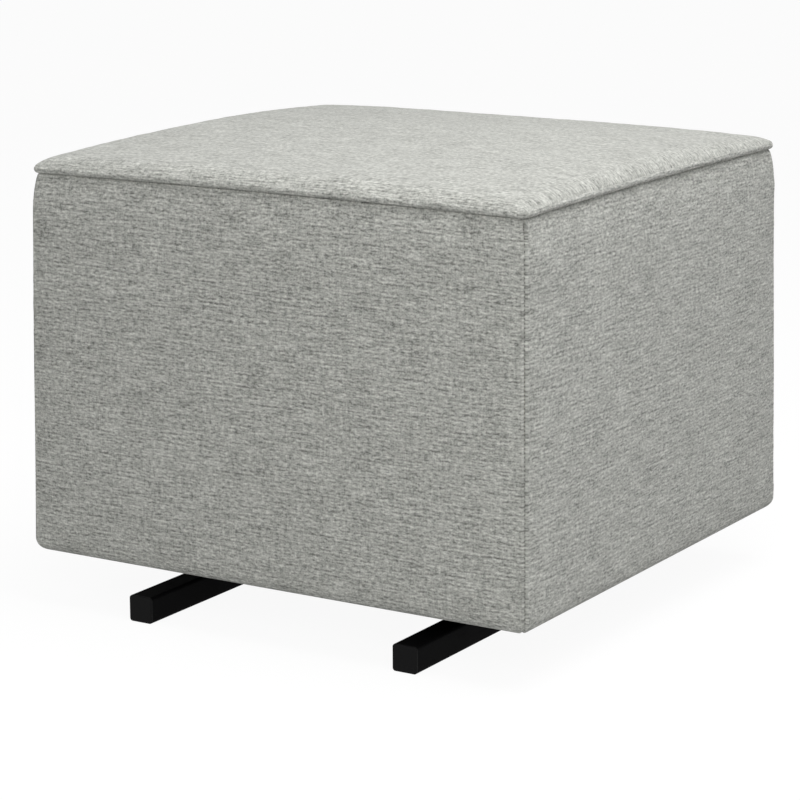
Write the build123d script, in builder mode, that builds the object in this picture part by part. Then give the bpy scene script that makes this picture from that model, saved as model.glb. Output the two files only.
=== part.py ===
from build123d import *
from math import cos, radians, sin, sqrt
import os

# Glider ottoman: an upholstered box on four hanging links over two runners.
# Millimetres. Origin on the floor under the middle, +Z up, -Y to the front, glide along Y.
os.makedirs("parts", exist_ok=True)

# Upholstered body, outside
body_width = 520  # along X
body_depth = 490  # along Y, the way it glides
ground_gap = 51  # floor to the underside
seam_height = 409  # floor to the top seam
crown_height = 25  # top seam to the middle of the crowned top
draw_in = 5  # how far the top seam pulls the sides in
draw_height = 25  # height over which the sides are drawn in
bottom_round = 12  # outer radius of the lower edge
flap_width = 28  # how far the side covers reach in under the body
crown_corner = 8  # corner radius of the crowned top, seen from above
crown_steps = 12  # sections from the middle of the crown to an end
crown_roundness = 1.8  # higher is flatter in the middle, along the width
crown_fullness = 0.116  # lower is fuller near the ends
crown_wall = 0.16  # upright share of the crown's height at its edge
shoulder_reach = 24  # how far in from the edge the shoulder curves
shoulder_rise = 0.72  # share of the crown's height that the shoulder reaches
knuckle_reach = 5  # how far in from the edge the shoulder turns most
knuckle_rise = 0.42  # share of the crown's height at the knuckle
core_corner = 3  # least corner radius of the layers inside the top

# Upholstery layers
fabric = 1.5
padding = 6
wadding = 8
welt_diameter = 7
welt_overhang = 1.1  # welt's centre past the top edge of the side covers
welt_gap = 0.05  # welt to the crowned top, which is sewn to it
dust_cloth = 0.8
dust_margin = 15  # body edge to the dust cover's edge
foam_height = 67  # deck to the top seam

# Wooden box
board_thickness = 5
rail_thickness = 20
bottom_rail_height = 85
top_rail_height = 40
block_size = 40
deck_thickness = 12
breather_diameter = 24
breather_pitch = 180

# Steel base
runner_size = 25
runner_wall = 1.5
runner_inset = 117  # body's side to a runner's middle
runner_overhang = 4  # how far a runner's end stands out past the body
tube_corner = 3  # outer corner radius of the square tubes
cap_thickness = 2.5
cap_depth = 12  # how far a cap's plug reaches into its tube
cap_round = 1.5  # rounding of a cap's face
post_size = 20
post_wall = 1.5
post_pitch = 250  # front to rear, centre to centre
post_reach = 15  # upper pivots to the tops of the posts
plug_clearance = 4  # post cap's plug to the bolt under it

# Links and pivots
pivot_height = 240  # floor to the upper pivots
link_pitch = 140  # upper to lower pivot
link_width = 24
link_thickness = 5
swing_limit = 24  # degrees each way
bush_flange = 2.2
bush_flange_diameter = 18
bush_diameter = 13
bolt_diameter = 8
hex_across_flats = 13
hex_head_height = 5
nut_height = 6.5
nut_collar_height = 1.5
bolt_end = 1.5  # thread that shows past a nut
button_diameter = 14
button_height = 4.5
button_clearance = 3  # between the lower bolts' heads and the posts
spacer_diameter = 16
running_radius = 0.05  # bush on bolt, on the radius
running_side = 0.3  # between faces that turn past each other
bolt_hole_clearance = 0.1  # on the radius

# Carriers, which hang the box on the lower pivots
carrier_height = 50
carrier_thickness = 3
carrier_bend = 4.5  # outer bend radius
tab_width = 33
screw_diameter = 4
screw_length = 18
screw_head_diameter = 9
screw_head_height = 2.5
screw_pitch = 25
pivot_above_edge = 15  # carrier's lower edge to the lower pivots

# Rubber stop buffers on the carriers
bumper_diameter = 12
bumper_height = 25  # above the lower pivots
bumper_gap = 0.3  # to the link at the end of the glide
bumper_side = 0.5  # past the link's inner face
bumper_neck = 6
bumper_button = 9
bumper_button_height = 2

# Gaps between the dust cover's strips, which the posts stand in
slot_clearance = 5

# Derived places
half_width = body_width / 2
half_depth = body_depth / 2
flap_bottom = ground_gap + dust_cloth
rail_bottom = flap_bottom + fabric
round_top = flap_bottom + bottom_round
board_inset = fabric + padding
frame_inset = board_inset + board_thickness
frame_half_x = half_width - frame_inset
frame_half_y = half_depth - frame_inset
deck_top = seam_height - foam_height
deck_bottom = deck_top - deck_thickness
rail_span_x = 2 * (frame_half_x - block_size)
rail_span_y = 2 * (frame_half_y - block_size)

runner_x = half_width - runner_inset
runner_pitch = 2 * runner_x
runner_length = body_depth + 2 * (runner_overhang - cap_thickness)
post_y = post_pitch / 2
post_face = runner_x + post_size / 2
post_top = pivot_height + post_reach
cross_length = runner_pitch - post_size
tie_length = post_pitch - post_size
lower_pivot_height = pivot_height - link_pitch

button_face = post_face + button_clearance + button_height
bush_inner_face = button_face + running_side
link_inner_face = bush_inner_face + bush_flange
bush_outer_face = link_inner_face + link_thickness + bush_flange
web_face = bush_outer_face + running_side
rail_inner_y = frame_half_y - rail_thickness
carrier_bottom = lower_pivot_height - pivot_above_edge
screw_x = web_face + (carrier_bend + tab_width) / 2
screw_z = carrier_bottom + carrier_height / 2

# A buffer touches its link's edge when the link leans by the swing limit.
swing = radians(swing_limit)
touch_reach = (link_width + bumper_diameter) / 2 + bumper_height * sin(swing)
bumper_offset = touch_reach / cos(swing) + bumper_gap
glide = link_pitch * sin(swing)

SIDES = {"left": -1, "right": 1}
ENDS = {"front": -1, "rear": 1}
CORNERS = [(end, side) for end in ENDS for side in SIDES]


def outward(side, x):
    """Plane square to X at x on one side, facing out, with the height as its local y."""
    sign = SIDES[side]
    return Plane(origin=(sign * x, 0, 0), x_dir=(0, sign, 0), z_dir=(sign, 0, 0))


def pivot_points(height):
    """Places of the front and rear pivots on a plane made by outward()."""
    return Locations((-post_y, height), (post_y, height))


def bumper_points():
    """Places of the front and rear stop buffers on a plane made by outward()."""
    reach = post_y + bumper_offset
    height = lower_pivot_height + bumper_height
    return Locations((-reach, height), (reach, height))


def tube_bore(size, wall, mode=Mode.ADD):
    """Outline of the inside of a square tube."""
    RectangleRounded(size - 2 * wall, size - 2 * wall, tube_corner - wall, mode=mode)


def square_tube(size, wall):
    """Section of a square tube with rounded corners."""
    RectangleRounded(size, size, tube_corner)
    tube_bore(size, wall, Mode.SUBTRACT)


# ---------------------------------------------------------------- steel base

for side, sign in SIDES.items():
    with BuildPart() as runner:
        with BuildSketch(Plane.XZ.offset(-runner_length / 2)):
            with Locations((sign * runner_x, runner_size / 2)):
                square_tube(runner_size, runner_wall)
        extrude(amount=runner_length)
    runner.part.label = f"runner_{side}"
    export_step(runner.part, f"parts/{runner.part.label}.step")

with BuildPart() as runner_end_caps:
    for end, facing in ENDS.items():
        mouth = Plane(origin=(0, facing * runner_length / 2, 0), x_dir=(-facing, 0, 0),
                      z_dir=(0, facing, 0))
        with BuildSketch(mouth):
            with Locations((-runner_x, runner_size / 2), (runner_x, runner_size / 2)):
                RectangleRounded(runner_size, runner_size, tube_corner)
        extrude(amount=cap_thickness)
        with BuildSketch(mouth):
            with Locations((-runner_x, runner_size / 2), (runner_x, runner_size / 2)):
                tube_bore(runner_size, runner_wall)
        extrude(amount=-cap_depth)
    outer_faces = runner_end_caps.faces().filter_by(Axis.Y).group_by(Axis.Y)
    fillet((outer_faces[0] + outer_faces[-1]).edges(), cap_round)
runner_end_caps.part.label = "runner_end_caps"
export_step(runner_end_caps.part, "parts/runner_end_caps.step")

for end, side in CORNERS:
    post_x = SIDES[side] * runner_x
    with BuildPart() as post:
        with BuildSketch(Plane.XY.offset(runner_size)):
            with Locations((post_x, ENDS[end] * post_y)):
                square_tube(post_size, post_wall)
        extrude(amount=post_top - runner_size)
        with Locations(Location((post_x, ENDS[end] * post_y, pivot_height), (0, 90, 0))):
            Hole(bolt_diameter / 2 + bolt_hole_clearance, depth=post_size)
    post.part.label = f"post_{end}_{side}"
    export_step(post.part, f"parts/{post.part.label}.step")

with BuildPart() as post_caps:
    with BuildSketch(Plane.XY.offset(post_top)):
        with GridLocations(runner_pitch, post_pitch, 2, 2):
            RectangleRounded(post_size, post_size, tube_corner)
    extrude(amount=cap_thickness)
    fillet(post_caps.faces().group_by(Axis.Z)[-1].edges(), cap_round)
    with BuildSketch(Plane.XY.offset(post_top)):
        with GridLocations(runner_pitch, post_pitch, 2, 2):
            tube_bore(post_size, post_wall)
    extrude(amount=bolt_diameter / 2 + plug_clearance - post_reach)
post_caps.part.label = "post_caps"
export_step(post_caps.part, "parts/post_caps.step")

for end, facing in ENDS.items():
    with BuildPart() as cross_tube:
        with BuildSketch(Plane.YZ.offset(-cross_length / 2)):
            with Locations((facing * post_y, runner_size + post_size / 2)):
                square_tube(post_size, post_wall)
        extrude(amount=cross_length)
    cross_tube.part.label = f"cross_tube_{end}"
    export_step(cross_tube.part, f"parts/{cross_tube.part.label}.step")

for side, sign in SIDES.items():
    with BuildPart() as tie_bar:
        with BuildSketch(Plane.XZ.offset(-tie_length / 2)):
            with Locations((sign * runner_x, post_top - post_size / 2)):
                square_tube(post_size, post_wall)
        extrude(amount=tie_length)
    tie_bar.part.label = f"tie_bar_{side}"
    export_step(tie_bar.part, f"parts/{tie_bar.part.label}.step")

with BuildPart() as top_cross_tube:
    with BuildSketch(Plane.YZ.offset(-cross_length / 2)):
        with Locations((0, post_top - post_size / 2)):
            square_tube(post_size, post_wall)
    extrude(amount=cross_length)
top_cross_tube.part.label = "top_cross_tube"
export_step(top_cross_tube.part, "parts/top_cross_tube.step")

with BuildPart() as upper_pivot_bolts:
    inner_face = runner_x - post_size / 2
    shank_length = web_face + nut_height + bolt_end - inner_face
    for side in SIDES:
        with BuildSketch(outward(side, inner_face)):
            with pivot_points(pivot_height):
                RegularPolygon(hex_across_flats / 2, 6, major_radius=False)
        extrude(amount=-hex_head_height)
        with BuildSketch(outward(side, inner_face)):
            with pivot_points(pivot_height):
                Circle(bolt_diameter / 2)
        extrude(amount=shank_length)
upper_pivot_bolts.part.label = "upper_pivot_bolts"
export_step(upper_pivot_bolts.part, "parts/upper_pivot_bolts.step")

with BuildPart() as pivot_spacers:
    for side in SIDES:
        with BuildSketch(outward(side, post_face)):
            with pivot_points(pivot_height):
                Circle(spacer_diameter / 2)
                Circle(bolt_diameter / 2 + bolt_hole_clearance, mode=Mode.SUBTRACT)
        extrude(amount=button_face - post_face)
pivot_spacers.part.label = "pivot_spacers"
export_step(pivot_spacers.part, "parts/pivot_spacers.step")


def lock_nuts(face, height):
    """Add four hexagon lock nuts whose inner faces lie at x = face on both sides."""
    hexagon_height = nut_height - nut_collar_height
    for side in SIDES:
        with BuildSketch(outward(side, face)) as hexagons:
            with pivot_points(height):
                RegularPolygon(hex_across_flats / 2, 6, major_radius=False)
        extrude(hexagons.sketch, amount=hexagon_height)
        with BuildSketch(outward(side, face + hexagon_height)) as collars:
            with pivot_points(height):
                Circle((hex_across_flats - nut_collar_height) / 2)
        extrude(collars.sketch, amount=nut_collar_height)
        with BuildSketch(outward(side, face)) as threads:
            with pivot_points(height):
                Circle(bolt_diameter / 2)
        extrude(threads.sketch, amount=nut_height, mode=Mode.SUBTRACT)


with BuildPart() as upper_pivot_nuts:
    lock_nuts(web_face, pivot_height)
upper_pivot_nuts.part.label = "upper_pivot_nuts"
export_step(upper_pivot_nuts.part, "parts/upper_pivot_nuts.step")

# -------------------------------------------------------------------- links

for end, side in CORNERS:
    link_y = SIDES[side] * ENDS[end] * post_y
    with BuildPart() as link:
        with BuildSketch(outward(side, link_inner_face)):
            with Locations((link_y, pivot_height - link_pitch / 2)):
                SlotCenterToCenter(link_pitch, link_width, rotation=90)
            with Locations((link_y, pivot_height), (link_y, lower_pivot_height)):
                Circle(bush_diameter / 2, mode=Mode.SUBTRACT)
        extrude(amount=link_thickness)
    link.part.label = f"link_{end}_{side}"
    export_step(link.part, f"parts/{link.part.label}.step")

    # Two flanged bushes meet inside each end of the link, one pressed in from each face.
    with BuildPart() as bushes:
        bush_points = [(link_y, pivot_height), (link_y, lower_pivot_height)]
        middle = link_inner_face + link_thickness / 2
        for start, inward in ((bush_inner_face, 1), (bush_outer_face, -1)):
            with BuildSketch(outward(side, start)):
                with Locations(bush_points):
                    Circle(bush_flange_diameter / 2)
            extrude(amount=inward * bush_flange)
            with BuildSketch(outward(side, start + inward * bush_flange)):
                with Locations(bush_points):
                    Circle(bush_diameter / 2)
            extrude(amount=inward * (link_thickness / 2 - running_radius))
        with BuildSketch(outward(side, bush_inner_face)):
            with Locations(bush_points):
                Circle(bolt_diameter / 2 + running_radius)
        extrude(amount=bush_outer_face - bush_inner_face, mode=Mode.SUBTRACT)
    bushes.part.label = f"bushes_{end}_{side}"
    export_step(bushes.part, f"parts/{bushes.part.label}.step")

# --------------------------------------------------- carriers and hardware

for side, sign in SIDES.items():
    with BuildPart() as carrier:
        with BuildSketch(Plane.XY.offset(carrier_bottom)):
            with BuildLine():
                FilletPolyline(
                    (sign * (web_face + tab_width), -rail_inner_y),
                    (sign * web_face, -rail_inner_y),
                    (sign * web_face, rail_inner_y),
                    (sign * (web_face + tab_width), rail_inner_y),
                    radius=carrier_bend,
                )
                offset(amount=carrier_thickness, side=Side.RIGHT if sign > 0 else Side.LEFT)
            make_face()
        extrude(amount=carrier_height)
        with BuildSketch(outward(side, web_face)):
            with pivot_points(lower_pivot_height):
                Circle(bolt_diameter / 2 + bolt_hole_clearance)
            with bumper_points():
                Circle(bumper_neck / 2)
        extrude(amount=carrier_thickness, mode=Mode.SUBTRACT)
        with BuildSketch(Plane.XZ):
            with Locations((sign * screw_x, screw_z)):
                with GridLocations(0, screw_pitch, 1, 2):
                    Circle(screw_diameter / 2)
        extrude(amount=rail_inner_y, both=True, mode=Mode.SUBTRACT)
    carrier.part.label = f"carrier_{side}"
    export_step(carrier.part, f"parts/{carrier.part.label}.step")

with BuildPart() as lower_pivot_bolts:
    for side in SIDES:
        with BuildSketch(outward(side, button_face)):
            with pivot_points(lower_pivot_height):
                Circle(button_diameter / 2)
        extrude(amount=-button_height)
    heads = lower_pivot_bolts.faces().filter_by(Axis.X).group_by(Axis.X)
    chamfer((heads[1] + heads[2]).edges(), button_height / 3)
    for side in SIDES:
        with BuildSketch(outward(side, button_face)):
            with pivot_points(lower_pivot_height):
                Circle(bolt_diameter / 2)
        extrude(amount=web_face + carrier_thickness + nut_height + bolt_end - button_face)
lower_pivot_bolts.part.label = "lower_pivot_bolts"
export_step(lower_pivot_bolts.part, "parts/lower_pivot_bolts.step")

with BuildPart() as lower_pivot_nuts:
    lock_nuts(web_face + carrier_thickness, lower_pivot_height)
lower_pivot_nuts.part.label = "lower_pivot_nuts"
export_step(lower_pivot_nuts.part, "parts/lower_pivot_nuts.step")

with BuildPart() as stop_bumpers:
    web_back = web_face + carrier_thickness
    for side in SIDES:
        for start, diameter, length in (
            (web_face, bumper_diameter, -(web_face - link_inner_face + bumper_side)),
            (web_face, bumper_neck, carrier_thickness),
            (web_back, bumper_button, bumper_button_height),
        ):
            with BuildSketch(outward(side, start)):
                with bumper_points():
                    Circle(diameter / 2)
            extrude(amount=length)
stop_bumpers.part.label = "stop_bumpers"
export_step(stop_bumpers.part, "parts/stop_bumpers.step")

with BuildPart() as carrier_screws:
    head_face = rail_inner_y - carrier_thickness
    for facing in ENDS.values():
        tab = Plane(origin=(0, facing * head_face, 0), x_dir=(-facing, 0, 0), z_dir=(0, facing, 0))
        for diameter, length in (
            (screw_head_diameter, -screw_head_height),
            (screw_diameter, screw_length),
        ):
            with BuildSketch(tab):
                with Locations((-screw_x, screw_z), (screw_x, screw_z)):
                    with GridLocations(0, screw_pitch, 1, 2):
                        Circle(diameter / 2)
            extrude(amount=length)
carrier_screws.part.label = "carrier_screws"
export_step(carrier_screws.part, "parts/carrier_screws.step")

# --------------------------------------------------------------- wooden box

for end, side in CORNERS:
    with BuildPart() as corner_block:
        with BuildSketch(Plane.XY.offset(rail_bottom)):
            with Locations((SIDES[side] * (frame_half_x - block_size / 2),
                            ENDS[end] * (frame_half_y - block_size / 2))):
                Rectangle(block_size, block_size)
        extrude(amount=deck_bottom - rail_bottom)
    corner_block.part.label = f"corner_block_{end}_{side}"
    export_step(corner_block.part, f"parts/{corner_block.part.label}.step")

RAILS = {
    "bottom_rail": (rail_bottom, bottom_rail_height),
    "top_rail": (deck_bottom - top_rail_height, top_rail_height),
}
for rail_name, (rail_z, rail_height) in RAILS.items():
    for end, facing in ENDS.items():
        with BuildPart() as rail:
            with BuildSketch(Plane.XY.offset(rail_z)):
                with Locations((0, facing * (frame_half_y - rail_thickness / 2))):
                    Rectangle(rail_span_x, rail_thickness)
            extrude(amount=rail_height)
            if rail_name == "bottom_rail":
                with BuildSketch(Plane.XZ.offset(-facing * rail_inner_y)):
                    with Locations((-screw_x, screw_z), (screw_x, screw_z)):
                        with GridLocations(0, screw_pitch, 1, 2):
                            Circle(screw_diameter / 2)
                extrude(amount=-facing * (screw_length - carrier_thickness), mode=Mode.SUBTRACT)
        rail.part.label = f"{rail_name}_{end}"
        export_step(rail.part, f"parts/{rail.part.label}.step")
    for side, sign in SIDES.items():
        with BuildPart() as rail:
            with BuildSketch(Plane.XY.offset(rail_z)):
                with Locations((sign * (frame_half_x - rail_thickness / 2), 0)):
                    Rectangle(rail_thickness, rail_span_y)
            extrude(amount=rail_height)
        rail.part.label = f"{rail_name}_{side}"
        export_step(rail.part, f"parts/{rail.part.label}.step")

with BuildPart() as deck_board:
    with BuildSketch(Plane.XY.offset(deck_bottom)):
        Rectangle(2 * frame_half_x, 2 * frame_half_y)
        with GridLocations(breather_pitch, breather_pitch, 2, 2):
            Circle(breather_diameter / 2, mode=Mode.SUBTRACT)
    extrude(amount=deck_thickness)
deck_board.part.label = "deck_board"
export_step(deck_board.part, "parts/deck_board.step")

for end, facing in ENDS.items():
    with BuildPart() as side_board:
        with BuildSketch(Plane.XY.offset(round_top)):
            with Locations((0, facing * (frame_half_y + board_thickness / 2))):
                Rectangle(2 * (frame_half_x + board_thickness), board_thickness)
        extrude(amount=deck_top - round_top)
    side_board.part.label = f"side_board_{end}"
    export_step(side_board.part, f"parts/{side_board.part.label}.step")

for side, sign in SIDES.items():
    with BuildPart() as side_board:
        with BuildSketch(Plane.XY.offset(round_top)):
            with Locations((sign * (frame_half_x + board_thickness / 2), 0)):
                Rectangle(board_thickness, 2 * frame_half_y)
        extrude(amount=deck_top - round_top)
    side_board.part.label = f"side_board_{side}"
    export_step(side_board.part, f"parts/{side_board.part.label}.step")

# --------------------------------------------------------------- upholstery

# Outward direction of each side wall, with its half length
WALLS = {
    "front": (0, -1, half_width),
    "rear": (0, 1, half_width),
    "left": (-1, 0, half_depth),
    "right": (1, 0, half_depth),
}


def side_outline(inset, inner, top):
    """Closed outline of a side wall's section, with its outer line set in by inset.

    Local x runs outwards and is 0 at the body's outer face, local y is the height. The
    wall is drawn in along an arc up to the seam, and turned under along an arc below.
    """
    draw_start = seam_height - draw_height
    draw_radius = (draw_in**2 + draw_height**2) / (2 * draw_in)

    def drawn(height):
        rise = height - draw_start
        return sqrt((draw_radius - inset) ** 2 - rise**2) - draw_radius

    edge_radius = bottom_round - inset
    diagonal = edge_radius * (1 - sqrt(0.5))
    foot = flap_bottom + inset
    draw_middle = (draw_start + top) / 2
    Line((-inner, top), (drawn(top), top))
    ThreePointArc((drawn(top), top), (drawn(draw_middle), draw_middle), (-inset, draw_start))
    Line((-inset, draw_start), (-inset, round_top))
    ThreePointArc(
        (-inset, round_top), (-inset - diagonal, foot + diagonal), (-bottom_round, foot)
    )
    Polyline((-bottom_round, foot), (-inner, foot), (-inner, top))


def wall_section(facing_x, facing_y):
    """Plane square to a side wall, its local x pointing out from the body's outer face."""
    return Plane(
        origin=(facing_x * half_width, facing_y * half_depth, 0),
        x_dir=(facing_x, facing_y, 0),
        z_dir=(facing_y, -facing_x, 0),
    )


def mitre(facing_x, facing_y):
    """Cut the wall being built on the diagonals through the body's upright corners."""
    for turn in (-1, 1):
        along_x, along_y = -facing_y * turn, facing_x * turn
        split(
            bisect_by=Plane(
                origin=((facing_x + along_x) * half_width, (facing_y + along_y) * half_depth, 0),
                z_dir=(along_x - facing_x, along_y - facing_y, 0),
            ),
            keep=Keep.BOTTOM,
        )


for wall, (facing_x, facing_y, half_length) in WALLS.items():
    with BuildPart() as side_cover:
        with BuildSketch(wall_section(facing_x, facing_y)):
            with BuildLine():
                side_outline(0, flap_width, seam_height)
            make_face()
            with BuildLine():
                side_outline(fabric, flap_width + fabric, seam_height + fabric)
            make_face(mode=Mode.SUBTRACT)
        extrude(amount=half_length, both=True)
        mitre(facing_x, facing_y)
    side_cover.part.label = f"cover_{wall}"
    export_step(side_cover.part, f"parts/{side_cover.part.label}.step")

    with BuildPart() as side_padding:
        with BuildSketch(wall_section(facing_x, facing_y)):
            with BuildLine():
                side_outline(fabric, flap_width, seam_height)
            make_face()
            with Locations((-board_inset, round_top)):
                Rectangle(flap_width, seam_height, align=(Align.MAX, Align.MIN), mode=Mode.SUBTRACT)
            with Locations((0, round_top)):
                Rectangle(2 * flap_width, round_top, align=(Align.CENTER, Align.MAX),
                          mode=Mode.SUBTRACT)
        extrude(amount=half_length, both=True)
        mitre(facing_x, facing_y)
    side_padding.part.label = f"padding_{wall}"
    export_step(side_padding.part, f"parts/{side_padding.part.label}.step")

# The crowned top: its edge stands just inside the welt.
welt_radius = welt_diameter / 2
welt_inset = draw_in - welt_overhang
crown_inset = welt_inset + welt_radius + welt_gap


def crown_sections(inset):
    """Sections across the crowned top, from end to end, with its surface set in by inset."""
    half_x = half_width - crown_inset - inset
    half_y = half_depth - crown_inset - inset
    corner = max(crown_corner - inset, core_corner)
    sections = []
    for step in range(-crown_steps, crown_steps + 1):
        x = half_x * sin(radians(90 * step / crown_steps))
        into_corner = max(corner - (half_x - abs(x)), 0)
        side = half_y - corner + sqrt(corner**2 - into_corner**2)
        rise = max(0, 1 - (abs(x) / half_x) ** crown_roundness) ** crown_fullness
        top = (crown_height - inset) * max(rise, crown_wall)
        shoulder = (side - shoulder_reach, top * shoulder_rise)
        knuckle = (side - knuckle_reach, top * knuckle_rise)
        with BuildSketch(Plane.YZ.offset(x)) as section:
            with BuildLine():
                Polyline((-side, seam_height + top * crown_wall), (-side, seam_height),
                         (side, seam_height), (side, seam_height + top * crown_wall))
                for sign in (-1, 1):
                    ThreePointArc(
                        (sign * side, seam_height + top * crown_wall),
                        (sign * knuckle[0], seam_height + knuckle[1]),
                        (sign * shoulder[0], seam_height + shoulder[1]),
                    )
                ThreePointArc(
                    (-shoulder[0], seam_height + shoulder[1]),
                    (0, seam_height + top),
                    (shoulder[0], seam_height + shoulder[1]),
                )
            make_face()
        sections.append(section.sketch)
    return sections


with BuildPart() as cover_top:
    loft(crown_sections(0), ruled=True)
    loft(crown_sections(fabric), ruled=True, mode=Mode.SUBTRACT)
cover_top.part.label = "cover_top"
export_step(cover_top.part, "parts/cover_top.step")

with BuildPart() as top_wadding:
    loft(crown_sections(fabric), ruled=True)
    loft(crown_sections(fabric + wadding), ruled=True, mode=Mode.SUBTRACT)
top_wadding.part.label = "top_wadding"
export_step(top_wadding.part, "parts/top_wadding.step")

with BuildPart() as seat_foam:
    with BuildSketch(Plane.XY.offset(deck_top)):
        Rectangle(2 * (half_width - board_inset), 2 * (half_depth - board_inset))
    extrude(amount=foam_height)
    loft(crown_sections(fabric + wadding), ruled=True)
seat_foam.part.label = "seat_foam"
export_step(seat_foam.part, "parts/seat_foam.step")

with BuildPart() as welt_cord:
    welt_x = half_width - welt_inset
    welt_y = half_depth - welt_inset
    with BuildLine(Plane.XY.offset(seam_height + welt_radius)) as welt_path:
        FilletPolyline(
            (welt_x, -welt_y), (welt_x, welt_y), (-welt_x, welt_y), (-welt_x, -welt_y),
            radius=crown_corner + welt_gap + welt_radius,
            close=True,
        )
    with BuildSketch(Plane(origin=welt_path.line @ 0, z_dir=welt_path.line % 0)):
        Circle(welt_radius)
    sweep()
welt_cord.part.label = "welt_cord"
export_step(welt_cord.part, "parts/welt_cord.step")

with BuildPart() as dust_cover:
    # Three strips of cloth, with a gap over each runner
    with BuildSketch(Plane.XY.offset(ground_gap)):
        Rectangle(body_width - 2 * dust_margin, body_depth - 2 * dust_margin)
        with Locations((-runner_x, 0), (runner_x, 0)):
            Rectangle(post_size + 2 * slot_clearance, body_depth, mode=Mode.SUBTRACT)
    extrude(amount=dust_cloth)
dust_cover.part.label = "dust_cover"
export_step(dust_cover.part, "parts/dust_cover.step")
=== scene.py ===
"""Looks of the glider ottoman: covers, padding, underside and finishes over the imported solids."""
import logging
import math
from collections.abc import Callable, Iterable, Iterator, Mapping, Sequence
from contextlib import contextmanager
from dataclasses import dataclass, field, fields
from enum import Enum
from itertools import accumulate
from typing import ClassVar

import bpy
from mathutils import Matrix, Vector, noise


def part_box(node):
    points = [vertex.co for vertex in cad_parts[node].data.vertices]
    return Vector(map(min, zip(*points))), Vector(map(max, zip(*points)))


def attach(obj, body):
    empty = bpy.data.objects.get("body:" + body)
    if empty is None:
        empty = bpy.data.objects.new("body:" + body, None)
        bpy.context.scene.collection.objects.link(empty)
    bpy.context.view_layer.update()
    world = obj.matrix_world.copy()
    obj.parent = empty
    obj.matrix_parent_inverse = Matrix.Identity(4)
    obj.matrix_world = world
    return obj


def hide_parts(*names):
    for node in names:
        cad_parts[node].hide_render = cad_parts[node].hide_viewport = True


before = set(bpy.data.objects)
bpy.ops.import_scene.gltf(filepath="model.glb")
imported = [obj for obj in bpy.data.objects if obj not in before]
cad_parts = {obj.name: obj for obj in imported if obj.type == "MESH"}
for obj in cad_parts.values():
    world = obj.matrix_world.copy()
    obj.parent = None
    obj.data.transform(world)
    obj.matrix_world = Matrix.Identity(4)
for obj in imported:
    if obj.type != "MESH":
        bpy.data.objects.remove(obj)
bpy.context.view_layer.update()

log = logging.getLogger("glider_ottoman")

Piece = bpy.types.Object
Socket = bpy.types.NodeSocket
Feed = Socket | float | tuple[float, ...] | None
Colour = tuple[float, float, float]
Triple = tuple[float, float, float]

CORNERS = [f"{end}_{side}" for end in ("front", "rear") for side in ("left", "right")]
UP = Vector((0.0, 0.0, 1.0))
CUT_MAP = "cut"  # where each corner lies on the flat cloth


# ------------------------------------------------------------------ small helpers


def clamp(share: float) -> float:
    """Hold a share between 0 and 1."""
    return min(max(share, 0.0), 1.0)


def smooth(share: float) -> float:
    """Ease a share from 0 to 1, held at both ends."""
    share = clamp(share)
    return share * share * (3.0 - 2.0 * share)


def quarter(share: float) -> float:
    """Sink of a quarter circle, from 0 at its flat end to 1 at its steep end."""
    share = clamp(share)
    return 1.0 - math.sqrt(1.0 - share * share)


def fade(distance: float, reach: float) -> float:
    """Share that falls from 1 at a seam towards 0, over about the reach."""
    return math.exp(-max(distance, 0.0) / reach)


def waver(place: Iterable[float], pitch: float, seed: float = 0.0) -> float:
    """Steady value from -1 to 1 that wanders over the pitch; the seed shifts its pattern."""
    return noise.noise(Vector(place) / pitch + Vector((seed, seed * 1.7, seed * 0.6)))


def spaced(reach: float, pitch: float) -> list[float]:
    """Even positions from -reach to reach, about pitch apart."""
    count = max(2, round(2 * reach / pitch))
    return [-reach + 2 * reach * step / count for step in range(count + 1)]


def pick_only(piece: Piece) -> None:
    """Select one piece alone and make it active.

    Args:
        piece: The piece.
    """
    bpy.ops.object.select_all(action="DESELECT")
    piece.select_set(True)
    bpy.context.view_layer.objects.active = piece


def start(name: str, shape: Callable[..., object], **sizes: object) -> Piece:
    """Start a piece from one of Blender's simple shapes.

    Args:
        name: Name of the piece and of its mesh.
        shape: Operator that adds the shape.
        sizes: What the operator takes.

    Returns:
        The piece, selected and active.
    """
    bpy.ops.object.select_all(action="DESELECT")
    shape(**sizes)
    piece = bpy.context.active_object
    piece.name = piece.data.name = name
    return piece


def start_block(name: str, low: Vector, high: Vector) -> Piece:
    """Start a piece from a box between two corners.

    Args:
        name: Name of the piece.
        low: Its lowest corner.
        high: Its highest corner.

    Returns:
        The block, with its object at the origin.
    """
    block = start(name, bpy.ops.mesh.primitive_cube_add, size=1.0, location=(low + high) / 2)
    block.scale = high - low
    bpy.ops.object.transform_apply(location=True, rotation=True, scale=True)
    return block


def finish_with(piece: Piece, kind: str, **settings: object) -> None:
    """Add a modifier to a piece and apply it.

    Args:
        piece: The piece.
        kind: Blender's name of the modifier type.
        settings: Properties of the modifier.
    """
    pick_only(piece)
    modifier = piece.modifiers.new(kind.title(), kind)
    for name, value in settings.items():
        setattr(modifier, name, value)
    bpy.ops.object.modifier_apply(modifier=modifier.name)


def thicken(piece: Piece, thickness: float, offset: float = -1.0) -> None:
    """Give a panel its thickness, inwards unless the offset says otherwise."""
    finish_with(piece, "SOLIDIFY", thickness=thickness, offset=offset)


def ease_edges(piece: Piece, width: float, segments: int = 1) -> None:
    """Bevel the sharp edges of a piece by a width."""
    finish_with(piece, "BEVEL", width=width, segments=segments, limit_method="ANGLE",
                angle_limit=math.radians(50))


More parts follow.
